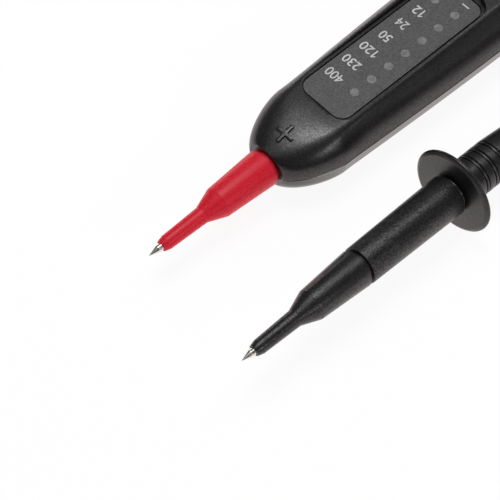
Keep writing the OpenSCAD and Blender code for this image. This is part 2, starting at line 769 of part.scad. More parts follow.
// Grip with its finger guard in one piece, on a hollow spigot that the barrel is pushed over
module guard_grip() {
    spigot_from = barrel_end - grip_spigot_len;
    seat_from = grip_end - tail_block - bush_flange - bush_room;
    smooth_from = last_groove + groove_pitch / 2;
    grooves = [for (i = [0 : groove_count - 1])
        for (p = groove_profile(groove_start + i * groove_pitch)) [p[0], guard_end + p[1]]];
    smooth_back = [for (i = [0 : 14]) let(x = mix(smooth_from, grip_len - tail_block, i / 14))
        [grip_radius(x), guard_end + x]];
    color([0.12, 0.12, 0.12]) second_frame() turned(concat(
        [[grip_bore_r, spigot_from], [grip_spigot_r, spigot_from],
            [grip_spigot_r, barrel_end + snug], [grip_spigot_r + edge, guard_start - lip],
            [guard_r - guard_bevel, guard_start], [guard_r - edge, guard_start + edge],
            [guard_r, guard_start + 2 * edge], [guard_r, guard_foot],
            [guard_r - edge, guard_end], [grip_neck_r + neck_fillet, guard_end + lip],
            [grip_neck_r, guard_end + neck_fillet]],
        grooves, smooth_back,
        [[grip_tail_r, grip_end - 1.5 * tail_ring], [grip_tail_r, grip_end - tail_ring],
            [grip_tail_r - tail_taper, grip_end], [bush_neck_r + snug, grip_end],
            [bush_neck_r + snug, grip_end - tail_block], [bush_r + snug, grip_end - tail_block],
            [bush_r + snug, seat_from], [grip_bore_r, seat_from - 4]]));
}

// Brass socket that carries the pin inside the barrel
module pin_socket() {
    from = pin_head_at + snug;
    head_end = pin_head_at + pin_head_len + snug;
    color([0.8, 0.7, 0.4]) second_frame() turned([
        [pin_head_r + snug, from], [socket_r, from], [socket_r, socket_end],
        [cup_r, socket_end], [cup_r, socket_end + cup_len], [0, socket_end + cup_len],
        [0, pin_end + snug], [pin_r + snug, pin_end + snug], [pin_r + snug, head_end],
        [pin_head_r + snug, head_end]]);
}

module safety_resistor() {
    color([0.75, 0.7, 0.55]) second_frame() {
        rod(wire_r, socket_end + cup_len, crimp_at + wire_in_crimp);
        rod(resistor_r, resistor_at, resistor_at + resistor_len);
    }
}

// Sleeve that joins the resistor's wire to the core of the lead
module crimp_terminal() {
    color([0.8, 0.7, 0.4]) second_frame() difference() {
        rod(crimp_r, crimp_at, crimp_at + crimp_len);
        rod(wire_r + snug, crimp_at - 1, crimp_at + wire_in_crimp + snug);
        rod(core_r, crimp_at + crimp_len - core_len, crimp_at + crimp_len + 1);
    }
}

module second_lead_bush() {
    color([0.07, 0.07, 0.07]) second_frame() lead_bush(grip_end - tail_block, grip_end);
}

top_shell();
bottom_shell();
display_panel();
light_guide();
lamp_shroud();
circuit_board();
lamp(lamp_places[0]);  // lamp_1
lamp(lamp_places[1]);  // lamp_2
lamp(lamp_places[2]);  // lamp_3
lamp(lamp_places[3]);  // lamp_4
lamp(lamp_places[4]);  // lamp_5
lamp(lamp_places[5]);  // lamp_6
lamp(lamp_places[6]);  // lamp_7
lamp(lamp_places[7]);  // lamp_8
controller_chip();
bridge_rectifier();
smoothing_capacitor();
series_resistor(0);  // series_resistor_1
series_resistor(1);  // series_resistor_2
series_resistor(2);  // series_resistor_3
series_resistor(3);  // series_resistor_4
thermistor(1);  // thermistor_1
thermistor(-1);  // thermistor_2
lead_terminal();
tip_terminal();
red_tip_sleeve();
main_probe_pin();
housing_screw(screw_places[0]);  // housing_screw_1
housing_screw(screw_places[1]);  // housing_screw_2
housing_screw(screw_places[2]);  // housing_screw_3
housing_screw(screw_places[3]);  // housing_screw_4
main_lead_bush();
black_tip_sleeve();
second_probe_pin();
probe_barrel();
guard_grip();
pin_socket();
safety_resistor();
crimp_terminal();
second_lead_bush();
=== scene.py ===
import math

import bmesh
import bpy
from mathutils import Matrix, Vector


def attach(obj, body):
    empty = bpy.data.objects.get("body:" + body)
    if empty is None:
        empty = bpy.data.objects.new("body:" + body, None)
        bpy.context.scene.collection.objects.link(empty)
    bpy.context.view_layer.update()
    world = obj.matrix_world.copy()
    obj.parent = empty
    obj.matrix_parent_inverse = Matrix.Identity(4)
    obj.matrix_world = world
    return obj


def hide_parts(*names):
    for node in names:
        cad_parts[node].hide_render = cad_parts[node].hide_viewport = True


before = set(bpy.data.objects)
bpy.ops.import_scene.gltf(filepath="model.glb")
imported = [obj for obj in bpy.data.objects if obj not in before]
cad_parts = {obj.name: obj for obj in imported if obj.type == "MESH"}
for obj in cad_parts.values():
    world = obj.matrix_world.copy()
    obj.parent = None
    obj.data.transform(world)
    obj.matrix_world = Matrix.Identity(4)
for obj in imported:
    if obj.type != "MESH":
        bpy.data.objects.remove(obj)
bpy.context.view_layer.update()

MM = 0.001
scene = bpy.context.scene

# Display handle in millimetres: distances from the nose face, heights over the tip's axis,
# which lies at AXIS_Z over the table
AXIS_Z = 10.5
HOUSING_LEN = 152.0
NOSE_AT = -HOUSING_LEN / 2
WALL = 2.0
SNUG = 0.05
NOSE_R, NOSE_LEN = 5.8, 15.5
FRONT_HALF_W, WIDENS_FROM = 13.35, NOSE_LEN + 2.5
WIDE_HALF_W, WIDE_AT = 15.19, 79.0
TAIL_HALF_W, TAIL_LEN, TAIL_R = 11.5, 16.0, 6.6
NOSE_STATIONS, MIDDLE_STATIONS, TAIL_STATIONS = 40, 90, 30
CAVITY_START, CAVITY_END = 12.0, 144.0
ROOF_Z, FLOOR_Z = 6.75, -8.5

# Deck, crease and shoulder of the upper shell
DECK_FRONT, DECK_BACK, DECK_TAIL = 9.1, 10.75, 9.3
DECK_HALF_W, DECK_WIDENING, DECK_CROWN = 9.45, 0.35, 0.1
CREASE_R, CREASE_INSET, CREASE_TO = 2.4, 0.6, 26
SHOULDER_H, SHOULDER_IN, SHOULDER_RISE, SHOULDER_ROUND = 4.95, 1, 0.4, 24.0
CLIMB_LEN = 17
DOME_TO, DOME_POWER_FRONT, DOME_POWER_BACK = 12, 2.45, 2.75

# Floor and bilge of the lower shell
FLOOR_HALF_W, FLOOR_WIDENING, FLOOR_INSET, FLOOR_ROUND = 7.2, 0.5, 0.5, 7.0
BILGE_DEPTH, BILGE_IN, BILGE_ROUND = 5.8, 1.1, 6.0

# What is trimmed off the rounded skin for the flat underside, and the block that does it
FOOT_TRIM, TRIM_MARGIN, TRIM_HALF_W, TRIM_LOW = 0.3, 2, 20, -16

# Shares of a side that a rounded corner may take, and points along one quarter of a section
HALF_SIDE, WHOLE_SIDE, CREASE_SHARE = 0.49, 0.98, 0.33
DECK_POINTS, ARC_POINTS, SIDE_POINTS = 14, 12, 6

# Parting line: height of the tongue, and the small edge that makes the line show
TONGUE_H = 0.9
PARTING_EDGE, PARTING_INSET, PARTING_GAP = 0.16, 0.01, 0.02

# Display panel and the pockets round it
PANEL_START, PANEL_LEN, PANEL_W, PANEL_CORNER = 18.1, 51.5, 15.6, 3.2
PANEL_LOW, PANEL_Z, PANEL_GAP, RIM_MARGIN = 8.15, 8.95, 0.4, 0.85
LIP_R, LIP_RUNOUT, LIP_RISE, LEAST_LIP = 0.2, 0.35, 0.12, 0.03
NOTCH_W, NOTCH_DEPTH, NOTCH_LAP, NOTCH_CORNER = 9.8, 0.9, 5, 0.5
GUIDE_MARGIN, GUIDE_W, GUIDE_CORNER = 2.1, 12.0, 2.0
CUT_TOP = 14.0
LAMP_START, LAMP_PITCH = 26.9, 6.0

# Raised plus on the nose: where its middle lies, its size and how its top rounds over
PLUS_AT, PLUS_Y = 5.97, -0.1
PLUS_LEN, PLUS_W, PLUS_H, PLUS_ROOT = 5.4, 1.0, 0.55, 0.5
PLUS_ROUNDING = ((0.0, 0.05), (0.02, 0.015), (0.05, 0.0))
PLUS_STEP = 0.3

# Screws with their pillars above and bosses below, and the ribs that carry the board
SCREW_PLACES = [(16.2, 5.0), (16.2, -5.0), (75.8, 0.0), (134.0, 0.0)]
PILLAR_R, PILLAR_TOP, PILLAR_BORE_R, PILLAR_BORE_TOP = 2.7, 7.55, 1.35, 5.9
BOSS_R, BOSS_LOW, BOSS_TOP = 3.4, -9.3, -0.2
WELL_R, WELL_TOP, BOSS_BORE_R, BELOW_FOOT = 2.5, -6.5, 1.5, -12
RIB_PLACES = (23.0, 43.85, 83.8, 110.1)
RIB_HALF_T, RIB_HALF_W, RIB_TOP = 0.75, 6, 0.6

# Bores through both ends of the housing: (radius, start, end)
HOUSING_BORES = [(4.35, -1, 6.05), (4.85, 2.25, 3.75), (2.45, 6, 13), (4.05, 143, 153)]

# Tips and second handle: distances from the point of the pin
HANDLE_START = 38.7
BARREL_END = 69.8
GUARD_START, GUARD_END, GUARD_R = 70.8, 72.3, 11.9
GUARD_FOOT = GUARD_END - 0.35
GRIP_END, TAIL_RING, TAIL_RING_R = 172.3, 3, 6.6
BUSH_WALL = 8
SPACING, SECOND_LEAD, SPLAY = 38.4, 5.1, 0.7
REST_ANGLE = math.atan((GUARD_R - TAIL_RING_R) / (GRIP_END - TAIL_RING - GUARD_FOOT))
SECOND_TIP_Z = GUARD_R * math.cos(REST_ANGLE) + GUARD_FOOT * math.sin(REST_ANGLE)

# Grip: distances from the guard's back face
GROOVE_PLACES = (6.05, 9.35, 12.65)
WAIST_AT, THICK_AT = 24.15, 60
SMOOTH_START, SMOOTH_END, SMOOTH_POINTS = 14.0, 92, 40
NECK_R, WAIST_R, THICK_R = 5.7, 5.1, 6.3

# Frames of both handles, and the turn that stands a turned piece upright
UPRIGHT = Matrix.Rotation(math.radians(-90), 4, "Y")
MAIN_TIP = Matrix.Translation((NOSE_AT - HANDLE_START, 0, AXIS_Z))
MAIN_NOSE = Matrix.Translation((NOSE_AT, 0, AXIS_Z))
SECOND_TIP = (
    Matrix.Translation((NOSE_AT - HANDLE_START - SECOND_LEAD, -SPACING, SECOND_TIP_Z))
    @ Matrix.Rotation(math.radians(SPLAY), 4, "Z")
    @ Matrix.Rotation(REST_ANGLE, 4, "Y")
)


# Finishes: noise scales are per metre, depths in metres


def finish(name, roughness, specular, metallic=0.0):
    material = bpy.data.materials.new(name)
    material.use_nodes = True
    tree = material.node_tree
    shader = tree.nodes["Principled BSDF"]
    shader.inputs["Roughness"].default_value = roughness
    shader.inputs["Specular IOR Level"].default_value = specular
    shader.inputs["Metallic"].default_value = metallic
    return material, tree, shader


def noise(tree, scale, detail, stretch=None):
    """Noise in the piece's own coordinates, stretched along the axes if asked."""
    node = tree.nodes.new("ShaderNodeTexNoise")
    node.inputs["Scale"].default_value = scale
    node.inputs["Detail"].default_value = detail
    source = tree.nodes.new("ShaderNodeTexCoord").outputs["Object"]
    if stretch:
        mapping = tree.nodes.new("ShaderNodeMapping")
        mapping.inputs["Scale"].default_value = stretch
        tree.links.new(source, mapping.inputs["Vector"])
        source = mapping.outputs["Vector"]
    tree.links.new(source, node.inputs["Vector"])
    return node.outputs["Fac"]


def ramp(tree, source, stops):
    node = tree.nodes.new("ShaderNodeValToRGB")
    band = node.color_ramp
    while len(band.elements) < len(stops):
        band.elements.new(0.5)
    for element, (at, colour) in zip(band.elements, stops):
        element.position = at
        element.color = (*colour, 1.0)
    tree.links.new(source, node.inputs["Fac"])
    return node.outputs["Color"]


def spread(tree, source, low, high, from_low=0.3, from_high=0.7):
    """Maps a value between two limits onto another range."""
    node = tree.nodes.new("ShaderNodeMapRange")
    node.inputs["From Min"].default_value = from_low
    node.inputs["From Max"].default_value = from_high
    node.inputs["To Min"].default_value = low
    node.inputs["To Max"].default_value = high
    tree.links.new(source, node.inputs["Value"])
    return node.outputs["Result"]


def bump(tree, shader, source, depth):
    node = tree.nodes.new("ShaderNodeBump")
    node.inputs["Strength"].default_value = 1.0
    node.inputs["Distance"].default_value = depth
    tree.links.new(source, node.inputs["Height"])
    tree.links.new(node.outputs["Normal"], shader.inputs["Normal"])


def moulded_plastic(name, dark, light, shine, grain, depth, specular=0.5, sparkle=0.0,
                    patches=90.0):
    """Moulded plastic: fine grain in the surface, soft patches in colour and shine."""
    material, tree, shader = finish(name, sum(shine) / 2, specular)
    patch = noise(tree, patches, 4.0)
    speckle = noise(tree, grain, 2.0)
    tree.links.new(ramp(tree, patch, [(0.35, dark), (0.65, light)]), shader.inputs["Base Color"])
    tree.links.new(spread(tree, patch, *shine), shader.inputs["Roughness"])
    if sparkle:
        glint = spread(tree, speckle, specular - sparkle, specular + sparkle, 0.35, 0.65)
        tree.links.new(glint, shader.inputs["Specular IOR Level"])
    bump(tree, shader, speckle, depth)
    return material


def translucent(material, depth, weight):
    """Lets light spread a little way under the surface, red light farthest."""
    shader = material.node_tree.nodes["Principled BSDF"]
    shader.inputs["Subsurface Weight"].default_value = weight
    shader.inputs["Subsurface Scale"].default_value = depth
    shader.inputs["Subsurface Radius"].default_value = (1.0, 0.25, 0.15)


def grained_film(name, dark, light, shine, grain, cloud, depth):
    """Printed film with the fine sparkle of a sprayed grain."""
    material, tree, shader = finish(name, shine[1], specular=0.4)
    speckle = noise(tree, grain, 1.0)
    haze = noise(tree, cloud, 3.0)
    tree.links.new(ramp(tree, speckle, [(0.3, dark), (0.7, light)]), shader.inputs["Base Color"])
    tree.links.new(spread(tree, haze, *shine), shader.inputs["Roughness"])
    bump(tree, shader, speckle, depth)
    return material


def plated_metal(name, dark, light, shine, along):
    """Plated metal with the faint rings that turning leaves."""
    material, tree, shader = finish(name, shine[0], specular=0.5, metallic=1.0)
    rings = noise(tree, 1.0, 2.0, along)
    tree.links.new(ramp(tree, rings, [(0.3, dark), (0.7, light)]), shader.inputs["Base Color"])
    tree.links.new(spread(tree, rings, *shine), shader.inputs["Roughness"])
    bump(tree, shader, rings, depth=0.0000015)
    return material


housing_black = moulded_plastic(
    "housing_black", (0.0075, 0.0075, 0.008), (0.0105, 0.0105, 0.011), shine=(0.30, 0.35),
    grain=2100.0, depth=0.00002, sparkle=0.15)
under_black = moulded_plastic(
    "under_black", (0.0075, 0.0075, 0.008), (0.0105, 0.0105, 0.011), shine=(0.19, 0.24),
    grain=2100.0, depth=0.00001, specular=0.7, sparkle=0.1)
barrel_black = moulded_plastic(
    "barrel_black", (0.006, 0.006, 0.0064), (0.009, 0.009, 0.0095), shine=(0.33, 0.40),
    grain=2300.0, depth=0.00005, sparkle=0.28)
sleeve_black = moulded_plastic(
    "sleeve_black", (0.006, 0.006, 0.0064), (0.009, 0.009, 0.0095), shine=(0.27, 0.33),
    grain=2400.0, depth=0.00003, specular=0.52, sparkle=0.2)
grip_black = moulded_plastic(
    "grip_black", (0.007, 0.007, 0.0074), (0.010, 0.010, 0.0105), shine=(0.30, 0.37),
    grain=2300.0, depth=0.00002, sparkle=0.1)
sleeve_red = moulded_plastic(
    "sleeve_red", (0.61, 0.008, 0.025), (0.79, 0.014, 0.041), shine=(0.36, 0.44),
    grain=2100.0, depth=0.00002, specular=0.25, patches=2400.0)
translucent(sleeve_red, depth=0.003, weight=0.6)
bush_rubber = moulded_plastic(
    "bush_rubber", (0.009, 0.009, 0.009), (0.014, 0.014, 0.014), shine=(0.60, 0.75),
    grain=1800.0, depth=0.00002, specular=0.35)
shroud_black = moulded_plastic(
    "shroud_black", (0.006, 0.006, 0.006), (0.010, 0.010, 0.010), shine=(0.7, 0.85),
    grain=2000.0, depth=0.00001, specular=0.3)
panel_film = grained_film(
    "panel_film", (0.053, 0.053, 0.054), (0.116, 0.116, 0.118), shine=(0.50, 0.62),
    grain=2800.0, cloud=160.0, depth=0.00001)
window_clear = moulded_plastic(
    "window_clear", (0.143, 0.143, 0.143), (0.229, 0.229, 0.227), shine=(0.30, 0.42),
    grain=900.0, depth=0.00002, patches=900.0)
print_white = moulded_plastic(
    "print_white", (0.56, 0.56, 0.55), (0.66, 0.66, 0.65), shine=(0.5, 0.6),
    grain=5000.0, depth=0.000004, specular=0.4, patches=900.0)
pin_nickel = plated_metal(
    "pin_nickel", (0.69, 0.67, 0.63), (0.80, 0.78, 0.73), shine=(0.12, 0.18),
    along=(9000.0, 40.0, 40.0))
socket_brass = plated_metal(
    "socket_brass", (0.62, 0.44, 0.18), (0.78, 0.60, 0.28), shine=(0.2, 0.34),
    along=(4000.0, 60.0, 60.0))
screw_zinc = plated_metal(
    "screw_zinc", (0.50, 0.50, 0.50), (0.66, 0.66, 0.67), shine=(0.26, 0.40),
    along=(600.0, 600.0, 3000.0))
board_green = moulded_plastic(
    "board_green", (0.012, 0.085, 0.035), (0.018, 0.115, 0.05), shine=(0.25, 0.4),
    grain=1200.0, depth=0.00002)
lamp_pale = moulded_plastic(
    "lamp_pale", (0.62, 0.56, 0.36), (0.78, 0.73, 0.52), shine=(0.2, 0.3),
    grain=1500.0, depth=0.000005)
chip_epoxy = moulded_plastic(
    "chip_epoxy", (0.010, 0.010, 0.010), (0.018, 0.018, 0.018), shine=(0.5, 0.65),
    grain=2500.0, depth=0.00001)
capacitor_can = plated_metal(
    "capacitor_can", (0.55, 0.57, 0.60), (0.68, 0.70, 0.74), shine=(0.28, 0.4),
    along=(2500.0, 40.0, 40.0))
resistor_lacquer = moulded_plastic(
    "resistor_lacquer", (0.26, 0.08, 0.06), (0.36, 0.12, 0.09), shine=(0.28, 0.4),
    grain=900.0, depth=0.00002)
thermistor_lacquer = moulded_plastic(
    "thermistor_lacquer", (0.48, 0.36, 0.07), (0.60, 0.47, 0.11), shine=(0.3, 0.42),
    grain=700.0, depth=0.00003)


# Mesh helpers


def new_piece(name, points, faces, material, place=None):
    """A mesh piece from points in millimetres, placed by its mesh and not by its object."""
    mesh = bpy.data.meshes.new(name)
    mesh.from_pydata([Vector(p) for p in points], [], faces)
    mesh.transform(Matrix.Scale(MM, 4) @ (place or Matrix.Identity(4)))
    piece = bpy.data.objects.new(name, mesh)
    scene.collection.objects.link(piece)
    if material:
        mesh.materials.append(material)
    return piece


def face_outwards(piece):
    work = bmesh.new()
    work.from_mesh(piece.data)
    bmesh.ops.remove_doubles(work, verts=work.verts, dist=1e-7)
    bmesh.ops.recalc_face_normals(work, faces=work.faces)
    work.to_mesh(piece.data)
    work.free()


def new_tool(points, faces, place):
    """A closed body that is added to a piece or cut out of it."""
    tool = new_piece("tool", points, faces, None, place)
    face_outwards(tool)
    return tool


def soften(piece, angle=32.0):
    """Smooth shading with crisp edges where faces meet at more than the angle."""
    mesh = piece.data
    mesh.shade_smooth()
    work = bmesh.new()
    work.from_mesh(mesh)
    for edge in work.edges:
        if len(edge.link_faces) == 2:
            edge.smooth = edge.calc_face_angle(0.0) < math.radians(angle)
    work.to_mesh(mesh)
    work.free()


def crisp_shading(piece):
    """Smooth shading for a cut piece, so that its large faces stay flat."""
    soften(piece, 30.0)
    step = piece.modifiers.new("shading", "WEIGHTED_NORMAL")
    step.keep_sharp = True
    step.weight = 60
    return baked(piece)


def mesh_of(thing):
    """The plain mesh of an object with its modifiers, or of a text."""
    depsgraph = bpy.context.evaluated_depsgraph_get()
    return bpy.data.meshes.new_from_object(thing.evaluated_get(depsgraph), depsgraph=depsgraph)


def baked(piece):
    """Turns a piece's modifiers into plain mesh."""
    mesh = mesh_of(piece)
    old = piece.data
    piece.modifiers.clear()
    piece.data = mesh
    bpy.data.meshes.remove(old)
    return piece


def combined(piece, tools, how):
    """Adds the tools to a piece or cuts them out of it, and removes them."""
    for tool in tools:
        step = piece.modifiers.new("step", "BOOLEAN")
        step.operation = how
        step.solver = "MANIFOLD"
        step.object = tool
    baked(piece)
    for tool in tools:
        bpy.data.objects.remove(tool)


def joined(piece, other):
    """Takes a second body into the mesh of the first, with its own shading kept."""
    with bpy.context.temp_override(active_object=piece, selected_editable_objects=[piece, other]):
        bpy.ops.object.join()


def band_faces(count, size, closed=False):
    """Faces between neighbouring rings of points, and from the last to the first if closed."""
    faces = []
    for i in range(count if closed else count - 1):
        here, after = i * size, (i + 1) % count * size
        for k in range(size):
            m = (k + 1) % size
            faces.append((here + k, here + m, after + m, after + k))
    return faces


def capped_bands(count, size):
    """Faces of a closed body: the bands between its rings, its first ring and its last."""
    first, last = range(size), range((count - 1) * size, count * size)
    return band_faces(count, size) + [tuple(first), tuple(last)]


def circle_points(x, radius, segments):
    """A ring of points round the X axis."""
    turns = [2 * math.pi * k / segments for k in range(segments)]
    return [(x, radius * math.cos(a), radius * math.sin(a)) for a in turns]


def corner_arc(corner, back, on, radius, free_back, free_on):
    """The arc that rounds a corner: its reach, radius, centre, and ends seen from there."""
    half = back.angle(on) / 2
    reach = min(radius / math.tan(half), free_back * back.length, free_on * on.length)
    true_r = reach * math.tan(half)
    middle = (back.normalized() + on.normalized()).normalized()
    centre = corner + middle * true_r / math.sin(half)
    start = corner + back.normalized() * reach - centre
    end = corner + on.normalized() * reach - centre
    return reach, true_r, centre, start, end


def rounded_profile(corners, steps=6):
    """Rounds the corners of a profile: each is (distance, radius, rounding)."""
    line = []
    for i, (x, r, rounding) in enumerate(corners):
        here = Vector((x, r))
        if rounding <= 0 or i in (0, len(corners) - 1):
            line.append(here)
            continue
        back = Vector(corners[i - 1][:2]) - here
        on = Vector(corners[i + 1][:2]) - here
        reach, _, centre, start, end = corner_arc(here, back, on, rounding, HALF_SIDE, HALF_SIDE)
        if back.angle(on) > math.radians(178) or reach < 1e-4:
            line.append(here)
            continue
        sweep = start.angle_signed(end)
        for k in range(steps + 1):
            spot = start.copy()
            spot.rotate(Matrix.Rotation(-sweep * k / steps, 2))
            line.append(centre + spot)
    return line


def turned_piece(name, corners, material, place, segments=96, closed=False):
    """A piece turned about the handle's axis from a profile with rounded corners."""
    line = rounded_profile(corners)
    points = [p for spot in line for p in circle_points(spot.x, spot.y, segments)]
    piece = new_piece(name, points, band_faces(len(line), segments, closed), material, place)
    face_outwards(piece)
    soften(piece)
    return piece


def rod_tool(radius, start, end, place, segments=64):
    points = circle_points(start, radius, segments) + circle_points(end, radius, segments)
    faces = band_faces(2, segments)
    faces.append(tuple(range(segments)))
    faces.append(tuple(range(2 * segments - 1, segments - 1, -1)))
    return new_tool(points, faces, place)


def post_tools(radius, low, high):
    """An upright rod at the place of each housing screw."""
    return [rod_tool(radius, low, high, MAIN_NOSE @ Matrix.Translation((x, y, 0)) @ UPRIGHT, 48)
            for x, y in SCREW_PLACES]


def block_tool(low, high, place):
    points = [(x, y, z) for x in (low[0], high[0]) for y in (low[1], high[1])
              for z in (low[2], high[2])]
    faces = [(0, 1, 3, 2), (4, 6, 7, 5), (0, 4, 5, 1), (2, 3, 7, 6), (0, 2, 6, 4), (1, 5, 7, 3)]
    return new_tool(points, faces, place)


# Housing section


def mix(a, b, t):
    return a + (b - a) * t


def part_way(x, a, b):
    return min(1.0, max(0.0, (x - a) / (b - a)))


def ease(t):
    return t * t * (3 - 2 * t)


def ease_out(t):
    return t * (1.5 - 0.5 * t * t)


def swell(t, power):
    """Share of the full section reached at a way t along a rounded end."""
    t = min(1.0, max(0.0, t))
    return (1 - (1 - t) ** power) ** (1 / power)


def tail_swell(h):
    return swell((HOUSING_LEN - h) / TAIL_LEN, 2)


def half_width(h):
    """Half width of the housing, its rounded ends left aside."""
    if h < WIDE_AT:
        return mix(FRONT_HALF_W, WIDE_HALF_W, ease_out(part_way(h, WIDENS_FROM, WIDE_AT)))
    return mix(WIDE_HALF_W, TAIL_HALF_W, ease(part_way(h, WIDE_AT, HOUSING_LEN)))


def deck_height(h):
    panel_end = PANEL_START + PANEL_LEN
    if h < panel_end:
        return mix(DECK_FRONT, DECK_BACK, part_way(h, PANEL_START, panel_end))
    return mix(DECK_BACK, DECK_TAIL, ease(part_way(h, panel_end, HOUSING_LEN)))


def fullness(h):
    """Share of the full width: the nose is bluff, the tail is elliptical."""
    return min(swell(h / NOSE_LEN, 1.5), tail_swell(h))


def rise(h):
    """Share of the full height: the nose climbs to the deck over a longer way than it widens."""
    return min(1 - (1 - part_way(h, 0, CLIMB_LEN)) ** 2, tail_swell(h))


def crispness(h):
    """How far the crease has sharpened: soft at the nose, crisp along the display."""
    return min(ease(part_way(h, 0, CREASE_TO)), tail_swell(h))


def end_radius(h):
    return NOSE_R if h < HOUSING_LEN / 2 else TAIL_R


def octagon_corners(r, side):
    t = math.tan(math.radians(22.5))
    return [(0, side * r), (t * r, side * r), (r, side * t * r), (r, 0)]


def deck_corners(h, depth, top):
    """Middle of the deck, crease, shoulder and parting line, for a skin at a given depth."""
    w = half_width(h)
    crease = DECK_HALF_W + DECK_WIDENING * (w - FRONT_HALF_W) - CREASE_INSET * depth
    shoulder_z = SHOULDER_H + SHOULDER_RISE * (top - DECK_FRONT)
    return [(0, top + DECK_CROWN), (crease, top), (w - SHOULDER_IN - depth, shoulder_z),
            (w - depth, 0)]


def floor_corners(h, depth, low):
    """Middle of the floor, its edge, bilge and parting line, for a skin at a given depth."""
    w = half_width(h)
    edge = FLOOR_HALF_W + FLOOR_WIDENING * (w - FRONT_HALF_W) - FLOOR_INSET * depth
    return [(0, low), (edge, low), (w - BILGE_IN - depth, -BILGE_DEPTH), (w - depth, 0)]


def arc_points(a, b, c, radius, free_a, free_c):
    """Points of the arc that rounds the corner b between a and c."""
    a, b, c = Vector(a), Vector(b), Vector(c)
    _, true_r, centre, start, end = corner_arc(b, a - b, c - b, radius, free_a, free_c)
    first = math.atan2(start.y, start.x)
    sweep = math.atan2(end.y, end.x) - first
    sweep = (sweep + math.pi) % (2 * math.pi) - math.pi
    turns = [first + sweep * i / (ARC_POINTS - 1) for i in range(ARC_POINTS)]
    return [centre + true_r * Vector((math.cos(turn), math.sin(turn))) for turn in turns]


def quarter_section(corners, r1, r2, share=HALF_SIDE):
    """From the middle of the deck or floor round to the parting line."""
    first = arc_points(corners[0], corners[1], corners[2], r1, WHOLE_SIDE, share)
    second = arc_points(corners[1], corners[2], corners[3], r2, WHOLE_SIDE - share, WHOLE_SIDE)
    start, end = Vector(corners[0]), first[0]
    crown = []
    for i in range(DECK_POINTS):
        t = i / DECK_POINTS
        crown.append(Vector((mix(start.x, end.x, t), mix(start.y, end.y, t * t))))
    flank = [first[-1].lerp(second[0], i / SIDE_POINTS) for i in range(1, SIDE_POINTS)]
    side = [second[-1].lerp(Vector(corners[3]), i / SIDE_POINTS)
            for i in range(1, SIDE_POINTS + 1)]
    return crown + first + flank + second + side


def upper_quarter(h, depth, top):
    """Quarter section of the upper shell: a dome at the nose, a creased deck behind it."""
    wide, high, crisp = fullness(h), rise(h), crispness(h)
    r = end_radius(h) - depth
    corners = [Vector((mix(a[0], b[0], wide), mix(a[1], b[1], high)))
               for a, b in zip(octagon_corners(r, 1), deck_corners(h, depth, top))]
    line = quarter_section(corners, mix(r, CREASE_R, crisp), mix(r, SHOULDER_ROUND, wide),
                           mix(HALF_SIDE, CREASE_SHARE, crisp))
    half_w, height = line[-1].x, line[0].y
    power = mix(DOME_POWER_FRONT, DOME_POWER_BACK, part_way(h, 0, DOME_TO))

    def to_dome(p):
        level = (p.x / half_w) ** power + (max(0.0, p.y) / height) ** power
        return mix(level ** (-1 / power), 1, crisp)

    return [p * to_dome(p) for p in line]


def lower_quarter(h, depth, low):
    """Quarter section of the lower shell."""
    t = fullness(h)
    r = end_radius(h) - depth
    corners = [Vector(a).lerp(Vector(b), t)
               for a, b in zip(octagon_corners(r, -1), floor_corners(h, depth, low))]
    return quarter_section(corners, mix(r, FLOOR_ROUND, t), mix(r, BILGE_ROUND, t))


def deck_z(h, y):
    """Height of the upper skin over the tip's axis."""
    line = upper_quarter(h, 0, deck_height(h))
    y = abs(y)
    for a, b in zip(line, line[1:]):
        if a.x <= y <= b.x and b.x > a.x:
            return mix(a.y, b.y, (y - a.x) / (b.x - a.x))
    return line[-1].y


def mirrored(points):
    return [Vector((-p.x, p.y)) for p in points]


def half_loop(quarter):
    return [Vector(p) for p in reversed(quarter)] + mirrored(quarter[1:])


def housing_stations():
    """Where the sections lie: closer together towards both rounded ends."""
    nose = [NOSE_LEN * (1 - math.cos(math.radians(90 * i / NOSE_STATIONS)))
            for i in range(NOSE_STATIONS)]
    middle = [mix(NOSE_LEN, HOUSING_LEN - TAIL_LEN, i / MIDDLE_STATIONS)
              for i in range(MIDDLE_STATIONS + 1)]
    tail = [HOUSING_LEN - TAIL_LEN * (1 - math.sin(math.radians(90 * i / TAIL_STATIONS)))
            for i in range(1, TAIL_STATIONS + 1)]
    return nose + middle + tail


def shell_skin(name, upper):
    """One moulded shell: outer skin, stepped parting rim and lining as one closed mesh."""
    rim = WALL / 2
    side = 1 if upper else -1
    rings = []
    for h in housing_stations():
        hi = mix(CAVITY_START, CAVITY_END, h / HOUSING_LEN)
        w = mix(end_radius(hi), half_width(hi), fullness(hi))
        if upper:
            skin = upper_quarter(h, 0, deck_height(h))
            lining = upper_quarter(hi, WALL, ROOF_Z)
            lining[-1] = Vector((w - WALL, TONGUE_H + SNUG))
            step = [Vector((w - rim, 0)), Vector((w - rim, TONGUE_H + SNUG))]
        else:
            skin = lower_quarter(h, 0, -AXIS_Z - FOOT_TRIM)
            lining = lower_quarter(hi, WALL, FLOOR_Z)
            lining[-1] = Vector((w - WALL, 0))
            step = [Vector((w - rim - SNUG, 0)), Vector((w - rim - SNUG, TONGUE_H)),
                    Vector((w - WALL, TONGUE_H))]
        corner = Vector((skin[-1].x - PARTING_EDGE, side * PARTING_GAP))
        skin[-1] = Vector((skin[-1].x - PARTING_INSET, side * PARTING_EDGE))
        skin.append(corner)
        outer = half_loop(skin)
        inner = mirrored(step) + list(reversed(half_loop(lining))) + list(reversed(step))
        rings.append([(h, p.x, p.y) for p in outer] + [(hi, p.x, p.y) for p in inner])
    points = [p for ring in rings for p in ring]
    faces = band_faces(len(rings), len(rings[0])) + end_caps(rings, len(outer), len(step), upper)
    plastic = housing_black if upper else under_black
    piece = new_piece(name, points, faces, plastic, MAIN_NOSE)
    face_outwards(piece)
    return piece


